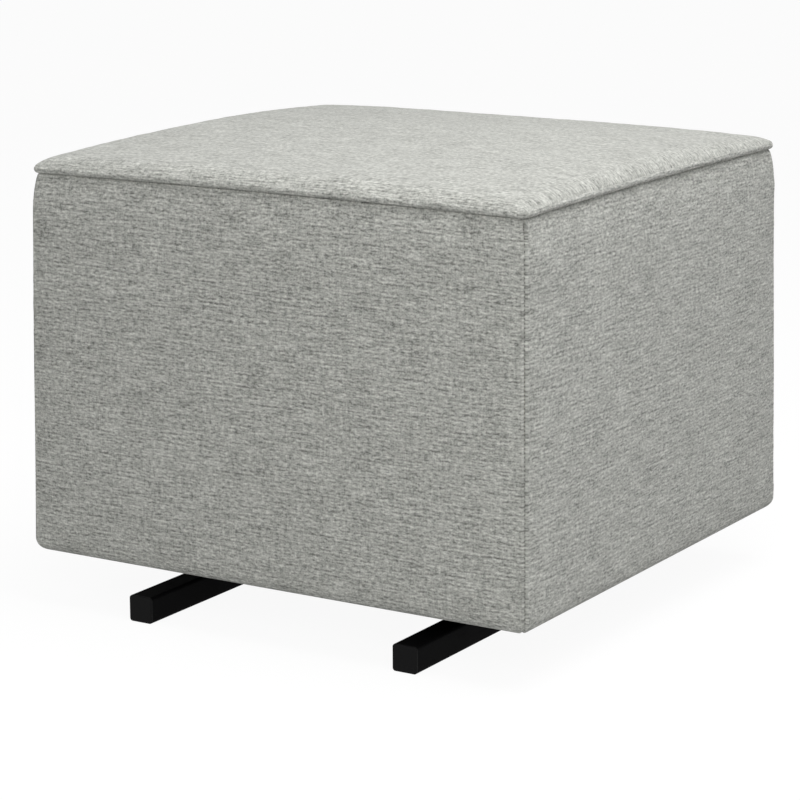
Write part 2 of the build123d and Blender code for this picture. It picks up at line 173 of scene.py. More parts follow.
@contextmanager
def editing(piece: Piece, select: str | None = "SELECT") -> Iterator[None]:
    """Open a piece's mesh for editing.

    Args:
        piece: The piece.
        select: What happens to the selection first, if anything.

    Yields:
        Nothing, while the mesh is open.
    """
    pick_only(piece)
    bpy.ops.object.mode_set(mode="EDIT")
    if select:
        bpy.ops.mesh.select_all(action=select)
    yield
    bpy.ops.object.mode_set(mode="OBJECT")


def face_outwards(piece: Piece) -> None:
    """Merge doubled corners and turn all faces outwards.

    Args:
        piece: The piece.
    """
    with editing(piece):
        bpy.ops.mesh.remove_doubles(threshold=1e-6)
        bpy.ops.mesh.normals_make_consistent(inside=False)


def round_over(piece: Piece, degrees: float = 40.0) -> None:
    """Shade a piece smooth, but for edges sharper than an angle."""
    pick_only(piece)
    bpy.ops.object.shade_smooth_by_angle(angle=math.radians(degrees))


def reshape(piece: Piece, move: Callable[[Vector], Vector]) -> None:
    """Move each corner of a mesh.

    Args:
        piece: The piece.
        move: Gives a corner's new place from its old one.
    """
    for corner in piece.data.vertices:
        corner.co = move(corner.co.copy())
    piece.data.update()


def repeat_at(piece: Piece, places: Iterable[Matrix]) -> Piece:
    """Copy a piece to several places and join the copies into one.

    Args:
        piece: The one that was modelled, at the origin.
        places: Where each copy goes.

    Returns:
        The joined piece, named as the first was.
    """
    name, copies = piece.name, []
    for place in places:
        copies.append(bpy.data.objects.new(name, piece.data.copy()))
        copies[-1].data.transform(place)
        bpy.context.collection.objects.link(copies[-1])
    bpy.data.objects.remove(piece, do_unlink=True)
    pick_only(copies[0])
    for copy in copies:
        copy.select_set(True)
    bpy.ops.object.join()
    copies[0].name = copies[0].data.name = name
    return copies[0]


# ------------------------------------------------------------------ wiring materials


class PatternMap(Enum):
    """What a pattern runs along: the cloth's cut, or one of the object's directions."""

    CUT = None
    WIDTH = (0.0, 0.0, 0.0)
    DEPTH = (0.0, 0.0, math.pi / 2)
    HEIGHT = (0.0, math.pi / 2, 0.0)


class Bench:
    """A node tree being wired, with short ways to add and join its nodes."""

    def __init__(self, tree: bpy.types.NodeTree) -> None:
        """Take over a tree."""
        self.tree = tree

    @staticmethod
    def cleared(owner: bpy.types.Material | bpy.types.World) -> "Bench":
        """Empty the tree of a material or a world.

        Args:
            owner: The material or world.

        Returns:
            Its tree, to be wired.
        """
        owner.use_nodes = True
        owner.node_tree.nodes.clear()
        return Bench(owner.node_tree)

    def add(self, kind: str, *values: Feed, **settings: object) -> bpy.types.Node:
        """Add a node.

        Args:
            kind: Type of the node, without Blender's ShaderNode prefix.
            values: What its first inputs take, where None leaves one as it is.
            settings: Properties of the node.

        Returns:
            The new node.
        """
        node = self.tree.nodes.new(f"ShaderNode{kind}")
        for name, value in settings.items():
            setattr(node, name, value)
        for socket, value in zip(node.inputs, values):
            self.feed(socket, value)
        return node

    def feed(self, socket: Socket, value: Feed) -> None:
        """Join a socket to another one, or give it a value of its own.

        Args:
            socket: The input.
            value: The other socket or the value; None leaves the input as it is.
        """
        if isinstance(value, Socket):
            self.tree.links.new(value, socket)
        elif value is not None:
            socket.default_value = (*value, 1.0) if socket.type == "RGBA" else value

    def maths(self, operation: str, *values: Feed) -> Socket:
        """Work out a number from up to three others."""
        return self.add("Math", *values, operation=operation).outputs[0]

    def weigh(self, *layers: tuple[Feed, float]) -> Feed:
        """Add up values, each times its own weight.

        Args:
            layers: Each value with its weight.

        Returns:
            The sum.
        """
        total: Feed = 0.0
        for value, weight in layers:
            total = self.maths("MULTIPLY_ADD", value, weight, total)
        return total

    def shifted(self, vector: Feed, offset: float) -> Socket:
        """Move a place, so that two layers of a pattern don't match."""
        return self.add("VectorMath", vector, (offset,) * 3, operation="ADD").outputs[0]

    def stretched(self, vector: Feed, sizes: Triple) -> Socket:
        """Divide a place by the sizes that one unit of a pattern has along each axis."""
        return self.add("VectorMath", vector, sizes, operation="DIVIDE").outputs[0]

    def scaled(self, vector: Feed, factor: Feed) -> Socket:
        """Multiply a place by a number."""
        return self.add("VectorMath", vector, None, None, factor, operation="SCALE").outputs[0]

    def cloud(self, vector: Feed, sizes: Triple, detail: float = 1.0) -> Socket:
        """Noise around one half, with patches of the given sizes and some finer layers."""
        return self.add("TexNoise", self.stretched(vector, sizes), None, 1.0, detail).outputs[0]

    def pebbles(self, vector: Feed, size: float) -> Socket:
        """Distance within small rounded cells of a given size."""
        cells = self.add("TexVoronoi", self.stretched(vector, (size,) * 3), None, 1.0)
        return cells.outputs["Distance"]

    def spread(self, value: Feed, low: float, high: float, first: float = 0.0,
               last: float = 1.0) -> Socket:
        """Map the range from low to high onto first to last, held at both."""
        return self.add("MapRange", value, low, high, first, last).outputs[0]

    def tint(self, share: Feed, first: Feed, second: Feed) -> Socket:
        """Mix two colours by a share."""
        return self.add("Mix", share, *[None] * 5, first, second, data_type="RGBA").outputs[2]

    def place_on(self, pattern: PatternMap) -> Socket:
        """Place on a piece that a pattern follows.

        Args:
            pattern: What the pattern runs along.

        Returns:
            The place.
        """
        if pattern is PatternMap.CUT:
            return self.add("UVMap", uv_map=CUT_MAP).outputs[0]
        place = self.add("TexCoord").outputs["Object"]
        return self.add("Mapping", place, None, pattern.value).outputs[0]

    def seen_directly(self) -> Socket:
        """Tell rays that show a surface from rays that light one.

        Returns:
            1 for rays from the camera, off gloss or through glass, and 0 for the others.
        """
        rays = self.add("LightPath").outputs
        through = self.maths("MAXIMUM", rays["Is Glossy Ray"], rays["Is Transmission Ray"])
        return self.maths("MAXIMUM", rays["Is Camera Ray"], through)


# ------------------------------------------------------------------ finishes


Look = tuple[Feed, Feed, Feed]  # what feeds a group's outputs, in their order
GIVES = {"Color": "Color", "Roughness": "Float", "Height": "Float"}


@dataclass(frozen=True)
class Finish:
    """A finish, made into a material the first time it is used.

    What a kind of finish adds to these sizes, a node group takes; its finishes share the group.
    """

    title: str
    pattern: PatternMap = PatternMap.WIDTH
    depth: float = 0.0001
    shine: float = 0.5
    nap: float = 0.0
    metal: float = 0.0
    effect: ClassVar[str] = ""

    def wire(self, bench: Bench, given: Mapping[str, Socket]) -> Look:
        """Wire the group.

        Args:
            bench: The group's tree.
            given: The group's inputs.

        Returns:
            Colour, roughness and height.
        """
        raise NotImplementedError

    def own(self) -> dict[str, Feed]:
        """Sizes and colours that the group takes, by the names of its inputs."""
        shared = {part.name for part in fields(Finish)}
        return {part.name.title(): getattr(self, part.name) for part in fields(self)
                if part.name not in shared}

    def group(self) -> bpy.types.NodeTree:
        """Find the group, or build it the first time.

        Returns:
            The group.
        """
        tree = bpy.data.node_groups.get(self.effect)
        if tree is None:
            tree = bpy.data.node_groups.new(self.effect, "ShaderNodeTree")
            takes = {name: "Color" if isinstance(value, tuple) else "Float"
                     for name, value in self.own().items()}
            for in_out, sockets in (("INPUT", {"Vector": "Vector"} | takes), ("OUTPUT", GIVES)):
                for name, kind in sockets.items():
                    tree.interface.new_socket(name=name, in_out=in_out,
                                              socket_type=f"NodeSocket{kind}")
            bench = Bench(tree)
            given = tree.nodes.new("NodeGroupInput").outputs
            made = tree.nodes.new("NodeGroupOutput").inputs
            for name, value in zip(GIVES, self.wire(bench, given)):
                bench.feed(made[name], value)
        return tree

    def material(self) -> bpy.types.Material:
        """Find the material, or make it the first time.

        Returns:
            The material.
        """
        title = f"{self.title}_{self.pattern.name.lower()}"
        made = bpy.data.materials.get(title)
        if made is None:
            made = bpy.data.materials.new(title)
            bench = Bench.cleared(made)
            look = bench.tree.nodes.new("ShaderNodeGroup")
            look.node_tree = self.group()
            for name, value in {"Vector": bench.place_on(self.pattern), **self.own()}.items():
                bench.feed(look.inputs[name], value)
            colour, roughness, height = (look.outputs[name] for name in GIVES)
            shader = bench.add("BsdfPrincipled")
            for name, value in {
                "Base Color": colour, "Roughness": roughness, "Metallic": self.metal,
                "Specular IOR Level": self.shine, "Sheen Weight": self.nap,
                "Normal": bench.add("Bump", None, self.depth, None, height).outputs[0],
            }.items():
                bench.feed(shader.inputs[name], value)
            bench.add("OutputMaterial", shader.outputs[0])
        return made

    def dress(self, *pieces: Piece) -> None:
        """Give the finish to pieces, in place of any they have.

        Args:
            pieces: The pieces.
        """
        for piece in pieces:
            slots = piece.data.materials
            if not slots:
                slots.append(self.material())
            for index in range(len(slots)):
                slots[index] = self.material()


@dataclass(frozen=True)
class Heather(Finish):
    """Light grey heathered upholstery fabric, with a soft nap."""

    depth: float = 0.00022
    shine: float = 0.2
    nap: float = 0.25
    pale: Colour = (0.76, 0.765, 0.714)
    deep: Colour = (0.165, 0.17, 0.1525)
    contrast: float = 1.12
    effect: ClassVar[str] = "heather_weave"
    yarn: ClassVar[float] = 0.00125
    # Shift, size along weft and warp, finer layers and weight of each mottle of the yarns
    mottles: ClassVar[tuple[tuple[float, ...], ...]] = (
        (0.0, 0.0048, 0.00185, 0.6, 1.0),  # short dashes along the weft
        (3.1, 0.027, 0.0021, 0.0, 0.58),  # slubs
        (7.7, 0.0015, 0.00115, 0.0, 0.62),  # fibres
        (5.3, 0.0016, 0.0085, 0.0, 0.26),  # dashes along the warp
        (1.9, 0.05, 0.035, 1.0, 0.16),  # slow change over the panel
    )

    def wire(self, bench: Bench, given: Mapping[str, Socket]) -> Look:
        """Add up the mottles over the relief of a plain weave.

        Args:
            bench: The group's tree.
            given: The group's inputs.

        Returns:
            Colour, roughness and height.
        """
        tone: Feed = 0.0
        for shift, weft, warp, detail, weight in self.mottles:
            layer = bench.cloud(bench.shifted(given["Vector"], shift), (weft, warp, 1.0), detail)
            part = bench.maths("MULTIPLY_ADD", layer, weight, -0.5 * weight)
            tone = bench.maths("ADD", tone, part)
        share = bench.spread(bench.maths("MULTIPLY_ADD", tone, given["Contrast"], 0.5), 0.0, 1.0)
        yarns = bench.stretched(given["Vector"], (self.yarn,) * 3)
        axes = bench.add("SeparateXYZ", yarns).outputs[:2]
        crowns = [
            bench.maths("ABSOLUTE", bench.maths("SINE", bench.maths("MULTIPLY", axis, math.pi)))
            for axis in axes
        ]
        count = bench.maths("ADD", *(bench.maths("FLOOR", axis) for axis in axes))
        checks = bench.maths("PINGPONG", count, 1.0)
        over = bench.maths("MULTIPLY", crowns[0], checks)
        under = bench.maths("MULTIPLY", crowns[1], bench.maths("SUBTRACT", 1.0, checks))
        return (bench.tint(share, given["Deep"], given["Pale"]),
                bench.spread(share, 0.2, 0.8, 0.95, 0.84),
                bench.maths("MULTIPLY_ADD", share, 0.9, bench.maths("MAXIMUM", over, under)))


@dataclass(frozen=True)
class Coated(Finish):
    """Powder coat, moulded plastic, rubber or nylon: finely pebbled, rubbed and scuffed."""

    depth: float = 0.00006
    base: Colour = (0.012, 0.012, 0.013)
    rubbed: Colour = (0.05, 0.05, 0.05)
    pebble: float = 0.0009
    gloss: float = 0.38
    effect: ClassVar[str] = "coat_grain"

    def wire(self, bench: Bench, given: Mapping[str, Socket]) -> Look:
        """Lay scuffs and a worn mottle over a pebbled relief.

        Args:
            bench: The group's tree.
            given: The group's inputs.

        Returns:
            Colour, roughness and height.
        """
        place = given["Vector"]
        finer = bench.maths("DIVIDE", 1.0, given["Pebble"])
        pebble = bench.cloud(bench.scaled(place, finer), (1.0, 1.0, 1.0), 2.0)
        worn = bench.spread(bench.cloud(place, (0.035,) * 3, 3.0), 0.45, 0.75)
        hairlines = bench.cloud(bench.shifted(place, 4.2), (0.0016, 0.03, 0.0016))
        scuffs = bench.spread(hairlines, 0.66, 0.74)
        share = bench.maths("MAXIMUM", bench.maths("MULTIPLY", worn, 0.3),
                            bench.maths("MULTIPLY", scuffs, 0.55))
        flecked = bench.maths("ADD", share, bench.spread(pebble, 0.3, 0.8, -0.05, 0.1))
        return (bench.tint(bench.spread(flecked, 0.0, 1.0), given["Base"], given["Rubbed"]),
                bench.maths("MULTIPLY_ADD", flecked, 0.3, given["Gloss"]), pebble)


@dataclass(frozen=True)
class Wooden(Finish):
    """Sawn rail timber or rotary-cut plywood."""

    early: Colour = (0.66, 0.47, 0.29)
    late: Colour = (0.42, 0.26, 0.14)
    spacing: float = 1.0
    effect: ClassVar[str] = "timber_grain"

    def wire(self, bench: Bench, given: Mapping[str, Socket]) -> Look:
        """Bend long growth lines with noise and add pores.

        Args:
            bench: The group's tree.
            given: The group's inputs.

        Returns:
            Colour, roughness and height.
        """
        wood = bench.scaled(given["Vector"], given["Spacing"])
        lines = bench.cloud(wood, (0.35, 0.006, 0.006), 2.0)
        rings = bench.maths("FRACT", bench.maths("MULTIPLY", lines, 9.0))
        pores = bench.spread(bench.cloud(wood, (0.012, 0.0007, 0.0007)), 0.6, 0.72)
        tone = bench.cloud(wood, (0.25, 0.05, 0.05), 2.0)
        share = bench.weigh((tone, 0.35), (bench.maths("POWER", rings, 2.0), 0.55), (pores, 0.25))
        return (bench.tint(bench.spread(share, 0.0, 1.0), given["Early"], given["Late"]),
                bench.spread(share, 0.0, 1.0, 0.62, 0.8), bench.weigh((pores, -0.6), (tone, 1.0)))


@dataclass(frozen=True)
class Matted(Finish):
    """Fibres pressed into a mat: wadding, spun cloth or hardboard."""

    shine: float = 0.25
    pale: Colour = (0.9, 0.9, 0.88)
    deep: Colour = (0.62, 0.62, 0.6)
    fibre: float = 1.0
    effect: ClassVar[str] = "fibre_mat"

    def wire(self, bench: Bench, given: Mapping[str, Socket]) -> Look:
        """Cross two directions of stretched noise over a coarse felt.

        Args:
            bench: The group's tree.
            given: The group's inputs.

        Returns:
            Colour, roughness and height.
        """
        place = bench.scaled(given["Vector"], given["Fibre"])
        first = bench.cloud(place, (0.009, 0.0006, 0.0012), 2.0)
        second = bench.cloud(bench.shifted(place, 2.3), (0.0006, 0.009, 0.0012), 2.0)
        felt = bench.cloud(place, (0.014,) * 3, 3.0)
        strands = bench.maths("MAXIMUM", first, second)
        share = bench.spread(bench.weigh((felt, 0.4), (strands, 0.6)), 0.35, 0.72)
        return (bench.tint(share, given["Deep"], given["Pale"]),
                bench.spread(share, 0.0, 1.0, 0.96, 0.86), share)


@dataclass(frozen=True)
class Foamed(Finish):
    """Cut upholstery foam."""

    depth: float = 0.0003
    shine: float = 0.2
    wall: Colour = (0.88, 0.84, 0.68)
    # Painted shade in the hollows of the open cells
    pore: Colour = (0.62, 0.55, 0.38)
    effect: ClassVar[str] = "open_cells"

    def wire(self, bench: Bench, given: Mapping[str, Socket]) -> Look:
        """Darken the middle of each open cell with painted shade and yellow the block unevenly.

        Args:
            bench: The group's tree.
            given: The group's inputs.

        Returns:
            Colour, roughness and height.
        """
        cell = bench.pebbles(given["Vector"], 0.0011)
        slow = bench.cloud(given["Vector"], (0.06,) * 3, 2.0)
        share = bench.weigh((slow, 0.3), (bench.spread(cell, 0.1, 0.7), 0.7))
        return (bench.tint(share, given["Pore"], given["Wall"]),
                bench.spread(share, 0.0, 1.0, 0.98, 0.9), cell)


@dataclass(frozen=True)
class Plated(Finish):
    """Zinc-plated steel."""

    metal: float = 1.0
    bright: Colour = (0.68, 0.69, 0.7)
    dull: Colour = (0.42, 0.43, 0.45)
    effect: ClassVar[str] = "plated_skin"

    def wire(self, bench: Bench, given: Mapping[str, Socket]) -> Look:
        """Cross fine turning marks with clouds.

        Args:
            bench: The group's tree.
            given: The group's inputs.

        Returns:
            Colour, roughness and height.
        """
        turned = bench.cloud(given["Vector"], (0.0003, 0.006, 0.006))
        clouds = bench.cloud(given["Vector"], (0.005,) * 3, 3.0)
        share = bench.weigh((clouds, 0.6), (turned, 0.4))
        return (bench.tint(bench.spread(share, 0.3, 0.7), given["Dull"], given["Bright"]),
                bench.spread(share, 0.3, 0.7, 0.42, 0.26), turned)


HEATHER = Heather("heathered_fabric", PatternMap.CUT)
# Copy of the same fabric for the top, with a darker pale yarn and lower contrast: painted shade and
# painted sheen for how the light grazes the top
TOP_HEATHER_SHADED = Heather("heathered_fabric_pulled_taut", PatternMap.CUT, depth=0.00013,
                      pale=(0.73, 0.735, 0.686), contrast=1.05)
# Real stitching, but its thread is darkened to paint the shade of the dark line along the corner seams
THREAD_SEAM_SHADE = Coated("sewing_thread", base=(0.13, 0.13, 0.12), rubbed=(0.25, 0.25, 0.24), gloss=0.7,
                shine=0.2)
POWDER = Coated("black_powder_coat", base=(0.0032, 0.0032, 0.0034), rubbed=(0.011, 0.011, 0.0114),
                gloss=0.6, shine=0.02)
LINK_COAT = Coated("link_paint", base=(0.014, 0.014, 0.014), rubbed=(0.06, 0.058, 0.055), shine=0.3)
PLUG = Coated("black_moulded_plastic", base=(0.005, 0.005, 0.0052), rubbed=(0.013, 0.013, 0.0135),
              pebble=0.0005, gloss=0.6, shine=0.08, depth=0.00004)
RUBBER = Coated("black_rubber", base=(0.02, 0.02, 0.02), rubbed=(0.06, 0.06, 0.058), gloss=0.62)
NYLON = Coated("natural_nylon", base=(0.74, 0.72, 0.65), rubbed=(0.5, 0.47, 0.4), gloss=0.36)
ZINC = Plated("zinc_plate")
FOAM = Foamed("upholstery_foam")
WADDING = Matted("polyester_wadding")
CAMBRIC = Matted("black_spun_cloth", pale=(0.03, 0.03, 0.031), deep=(0.008, 0.008, 0.009), fibre=0.8)
HARDBOARD = Matted("hardboard", pale=(0.33, 0.21, 0.12), deep=(0.17, 0.1, 0.055), fibre=0.5)
PLYWOOD = Wooden("plywood", early=(0.72, 0.56, 0.37), late=(0.5, 0.34, 0.19), spacing=0.45)


def dress_nodes(finish: Finish, *names: str) -> None:
    """Give a finish to CAD nodes that stay."""
    finish.dress(*(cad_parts[name] for name in names))
    log.info("dressed %s in %s", ", ".join(names), finish.title)


def hand_over(piece: Piece, finish: Finish, slot: str, *nodes: str, body: str = "seat_box") -> None:
    """Dress a finished piece and say where it belongs.

    Args:
        piece: The piece.
        finish: Its finish.
        slot: Not used.
        nodes: CAD nodes that it stands for.
        body: CAD body that it rides on.
    """
    finish.dress(piece)
    if nodes:
        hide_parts(*nodes)
    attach(piece, body)
    log.info("built %s", piece.name)


# ------------------------------------------------------------------ cloth pieces


@dataclass
class Cut:
    """A panel of cloth or foam on a grid, shaped over the body before it settles.

    Each kind of panel spaces its columns across the flat cloth and its rows up it.
    """

    name: str
    across: list[float] = field(init=False)
    up: list[float] = field(init=False)

    def point(self, column: int, row: int) -> Vector:
        """Place of a corner on the body."""
        raise NotImplementedError

    def flat(self, column: int, row: int) -> tuple[float, float]:
        """Place of a corner on the flat cloth, in metres."""
        return self.across[column], self.up[row]

    def is_held(self, column: int, row: int) -> bool:
        """Whether a corner is sewn, stapled or glued down."""
        return False

    def lay(self) -> tuple[Piece, list[bool]]:
        """Make the grid and shape it.

        Returns:
            The panel, and whether each of its corners is held.
        """
        right, top = len(self.across) - 1, len(self.up) - 1
        panel = start(self.name, bpy.ops.mesh.primitive_grid_add, size=2.0,
                      x_subdivisions=right, y_subdivisions=top)
        corners = panel.data.vertices
        assert len(corners) == (right + 1) * (top + 1), f"{self.name}: unexpected grid"
        spots = [(round((corner.co.x + 1) / 2 * right), round((corner.co.y + 1) / 2 * top))
                 for corner in corners]
        for corner, spot in zip(corners, spots):
            corner.co = self.point(*spot)
        layer = panel.data.uv_layers.active
        layer.name = CUT_MAP
        for loop in panel.data.loops:
            layer.data[loop.index].uv = self.flat(*spots[loop.vertex_index])
        panel.data.update()
        return panel, [self.is_held(*spot) for spot in spots]


@dataclass
class Settling:
    """A cover about to be blown up a little by cloth simulation, held at its seams."""

    panel: Piece
    held: list[bool]
    limit: float
    backing: float = 0.014
    frames: ClassVar[int] = 20
    fabric: ClassVar[Mapping[str, float | str]] = {
        "quality": 5, "mass": 0.25, "tension_stiffness": 12.0, "compression_stiffness": 12.0,
        "shear_stiffness": 4.0, "bending_stiffness": 0.6, "air_damping": 2.0, "shrink_min": -0.012,
        "use_pressure": True, "uniform_pressure_force": 4.0, "vertex_group_mass": "sewn",
    }

    def start(self) -> None:
        """Copy the panel, close it at the back, hold its seams and make it cloth."""
        self.stand_in = bpy.data.objects.new(f"{self.panel.name}_trial", self.panel.data.copy())
        bpy.context.collection.objects.link(self.stand_in)
        thicken(self.stand_in, self.backing)
        sewn = self.stand_in.vertex_groups.new(name="sewn")
        back = range(len(self.held), len(self.stand_in.data.vertices))
        sewn.add([index for index, tight in enumerate(self.held) if tight] + list(back), 1.0, "REPLACE")
        cloth = self.stand_in.modifiers.new("Cloth", "CLOTH").settings
        for name, value in self.fabric.items():
            setattr(cloth, name, value)
        cloth.effector_weights.gravity = 0.0

    def take(self) -> None:
        """Take the settled shape, no further than the limit from where it began."""
        graph = bpy.context.evaluated_depsgraph_get()
        settled = self.stand_in.evaluated_get(graph).to_mesh()
        largest = 0.0
        for corner, loose in zip(self.panel.data.vertices, settled.vertices):
            move = loose.co - corner.co
            largest = max(largest, move.length)
            if move.length > 1e-9:
                corner.co += move.normalized() * self.limit * math.tanh(move.length / self.limit)
        self.panel.data.update()
        bpy.data.objects.remove(self.stand_in, do_unlink=True)
        log.info("settled %s, free move %.1f mm", self.panel.name, largest * 1000)


def settle(covers: Sequence[Settling]) -> None:
    """Let all the covers settle together.

    Args:
        covers: The covers, each with its held corners.
    """
    for cover in covers:
        cover.start()
    for step in range(1, Settling.frames + 1):
        bpy.context.scene.frame_set(step)
    for cover in covers:
        cover.take()
    bpy.context.scene.frame_set(1)


# ------------------------------------------------------------------ the body's form


class Wall(Enum):
    """Side of the upholstered body, with the direction it faces."""

    FRONT = (0, -1)
    REAR = (0, 1)
    LEFT = (-1, 0)
    RIGHT = (1, 0)

    @property
    def label(self) -> str:
        """Name of the side, as nodes and pieces use it."""
        return self.name.lower()

    @property
    def is_wide(self) -> bool:
        """Whether the side runs along the body's width."""
        return self.value[0] == 0


@dataclass(frozen=True)
class Station:
    """Point of the upright section of a side wall."""

    inset: float
    height: float
    tilt: float
    length: float

    @property
    def is_upright(self) -> bool:
        """Whether it lies above the rounded lower edge."""
        return self.tilt < 0.01


@dataclass(frozen=True)
class BodyForm:
    """Outer form of the upholstered body, in metres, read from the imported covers."""

    half_width: float
    half_depth: float
    seam: float
    foot: float
    crown_top: float
    crown_half_x: float
    crown_half_y: float
    draw_in: float = 0.0042
    draw_height: float = 0.036
    tuck_in: float = 0.0016
    tuck_height: float = 0.004
    bottom_round: float = 0.012
    flap: float = 0.028
    seam_bow: float = 0.002
    bow_reach: float = 0.09
    seam_notch: float = 0.003
    corner_roll: float = 0.0034
    swell: float = 0.0012
    crown_reach: float = 0.0055
    crown_edge: float = 0.0063
    crown_softness: float = 0.0068
    side_fall: float = 0.15
    side_roundness: float = 2.4
    front_fall: float = 0.25
    rear_fall: float = 0.39
    corner_fall: float = 0.08
    flare: float = 0.0055
    flare_height: float = 0.33
    crown_corner: float = 0.006
    # How far below the seam the closely spaced stations lie
    below_seam: ClassVar[tuple[float, ...]] = (
        0.034, 0.027, 0.021, 0.016, 0.012, 0.009, 0.0065, 0.0045, 0.003, 0.0018, 0.0009, 0.0)

    @staticmethod
    def measured() -> "BodyForm":
        """Read the form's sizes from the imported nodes.

        Returns:
            The form.
        """
        front_low, front_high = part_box("cover_front")
        top_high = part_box("cover_top")[1]
        return BodyForm(
            half_width=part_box("cover_right")[1].x, half_depth=-front_low.y, seam=front_high.z,
            foot=front_low.z, crown_top=top_high.z,
            crown_half_x=top_high.x + BodyForm.crown_reach,
            crown_half_y=top_high.y + BodyForm.crown_reach)

    def half_length(self, wall: Wall) -> float:
        """Half the length of a wall."""
        return self.half_width if wall.is_wide else self.half_depth

    def reach(self, wall: Wall) -> float:
        """Distance from the middle to a wall's face."""
        return self.half_depth if wall.is_wide else self.half_width

    def drawn(self, height: float) -> float:
        """How far a wall is drawn in by the top seam and its tuck.

        Args:
            height: Height over the floor.

        Returns:
            The distance inwards.
        """
        rise = height - (self.seam - self.draw_height)
        if rise <= 0:
            return 0.0
        radius = (self.draw_in**2 + self.draw_height**2) / (2 * self.draw_in)
        tuck = self.tuck_in * quarter(1 - (self.seam - height) / self.tuck_height)
        return radius - math.sqrt(radius**2 - rise**2) + tuck

    def flared(self, height: float) -> float:
        """How far a wall stands out at a height, as it widens towards its lower edge."""
        return self.flare * clamp((self.foot + self.flare_height - height) / self.flare_height)

    def lift(self, share: float) -> float:
        """How far the top seam bows up at a share of a wall's half length."""
        return self.seam_bow * (1 - min(abs(share), 1.0) ** 2)

    def section(self, top: float, pitch: float) -> list[Station]:
        """Walk up a wall's section, from the end of its flap to its top edge.

        Args:
            top: Height of the top edge.
            pitch: Largest distance between stations on the flat of the wall.

        Returns:
            The stations, each with its length along the section.
        """
        round_top = self.foot + self.bottom_round
        track = [(self.flap - step * (self.flap - self.bottom_round) / 4, self.foot, math.pi / 2)
                 for step in range(4)]
        for step in range(9):
            tilt = math.pi / 2 * (1 - step / 8)
            track.append((self.bottom_round * (1 - math.cos(tilt)),
                          round_top - self.bottom_round * math.sin(tilt), tilt))
        flat = top - self.below_seam[0] - round_top
        count = round(flat / pitch)
        heights = [round_top + flat * step / count for step in range(1, count)]
        heights += [top - below for below in self.below_seam]
        track += [(self.drawn(height), height, 0.0) for height in heights]
        stations, length, before = [], 0.0, track[0]
        for place in track:
            length += math.dist(place[:2], before[:2])
            inset, height, tilt = before = place
            stations.append(Station(inset - self.flared(height), height, tilt, length))
        return stations

    def on_wall(self, wall: Wall, along: float, station: Station, depth: float = 0.0) -> Vector:
        """Place on a wall.

        Args:
            wall: The side.
            along: Distance along the wall from its middle.
            station: Place in the wall's section.
            depth: How far under the wall's surface.

        Returns:
            The place, in the object's frame.
        """
        facing_x, facing_y = wall.value
        outwards = self.reach(wall) - station.inset - depth * math.cos(station.tilt)
        bow = smooth((station.height - self.seam + self.bow_reach) / self.bow_reach)
        height = station.height + depth * math.sin(station.tilt)
        height += self.lift(along / self.half_length(wall)) * bow
        return Vector((facing_x * outwards - facing_y * along,
                       facing_y * outwards + facing_x * along, height))

    def crown(self, x: float, y: float) -> float:
        """Height of the crowned top over its seam.

        Args:
            x: Place along the width.
            y: Place along the depth.

        Returns:
            The height.
        """
        rises = [max(1 - math.exp(-gap / self.crown_softness), 0.0)
                 for gap in (self.crown_half_x - abs(x), self.crown_half_y - abs(y))]
        rise = min(rises) * max(rises) ** 0.5
        across, along = x / self.crown_half_x, y / self.crown_half_y
        fall = 1 - self.side_fall * abs(across) ** self.side_roundness
        fall *= 1 - self.corner_fall * (across * along) ** 2
        fall *= 1 - (self.front_fall if y < 0 else self.rear_fall) * along**2
        return self.crown_edge + ((self.crown_top - self.seam) * fall - self.crown_edge) * rise


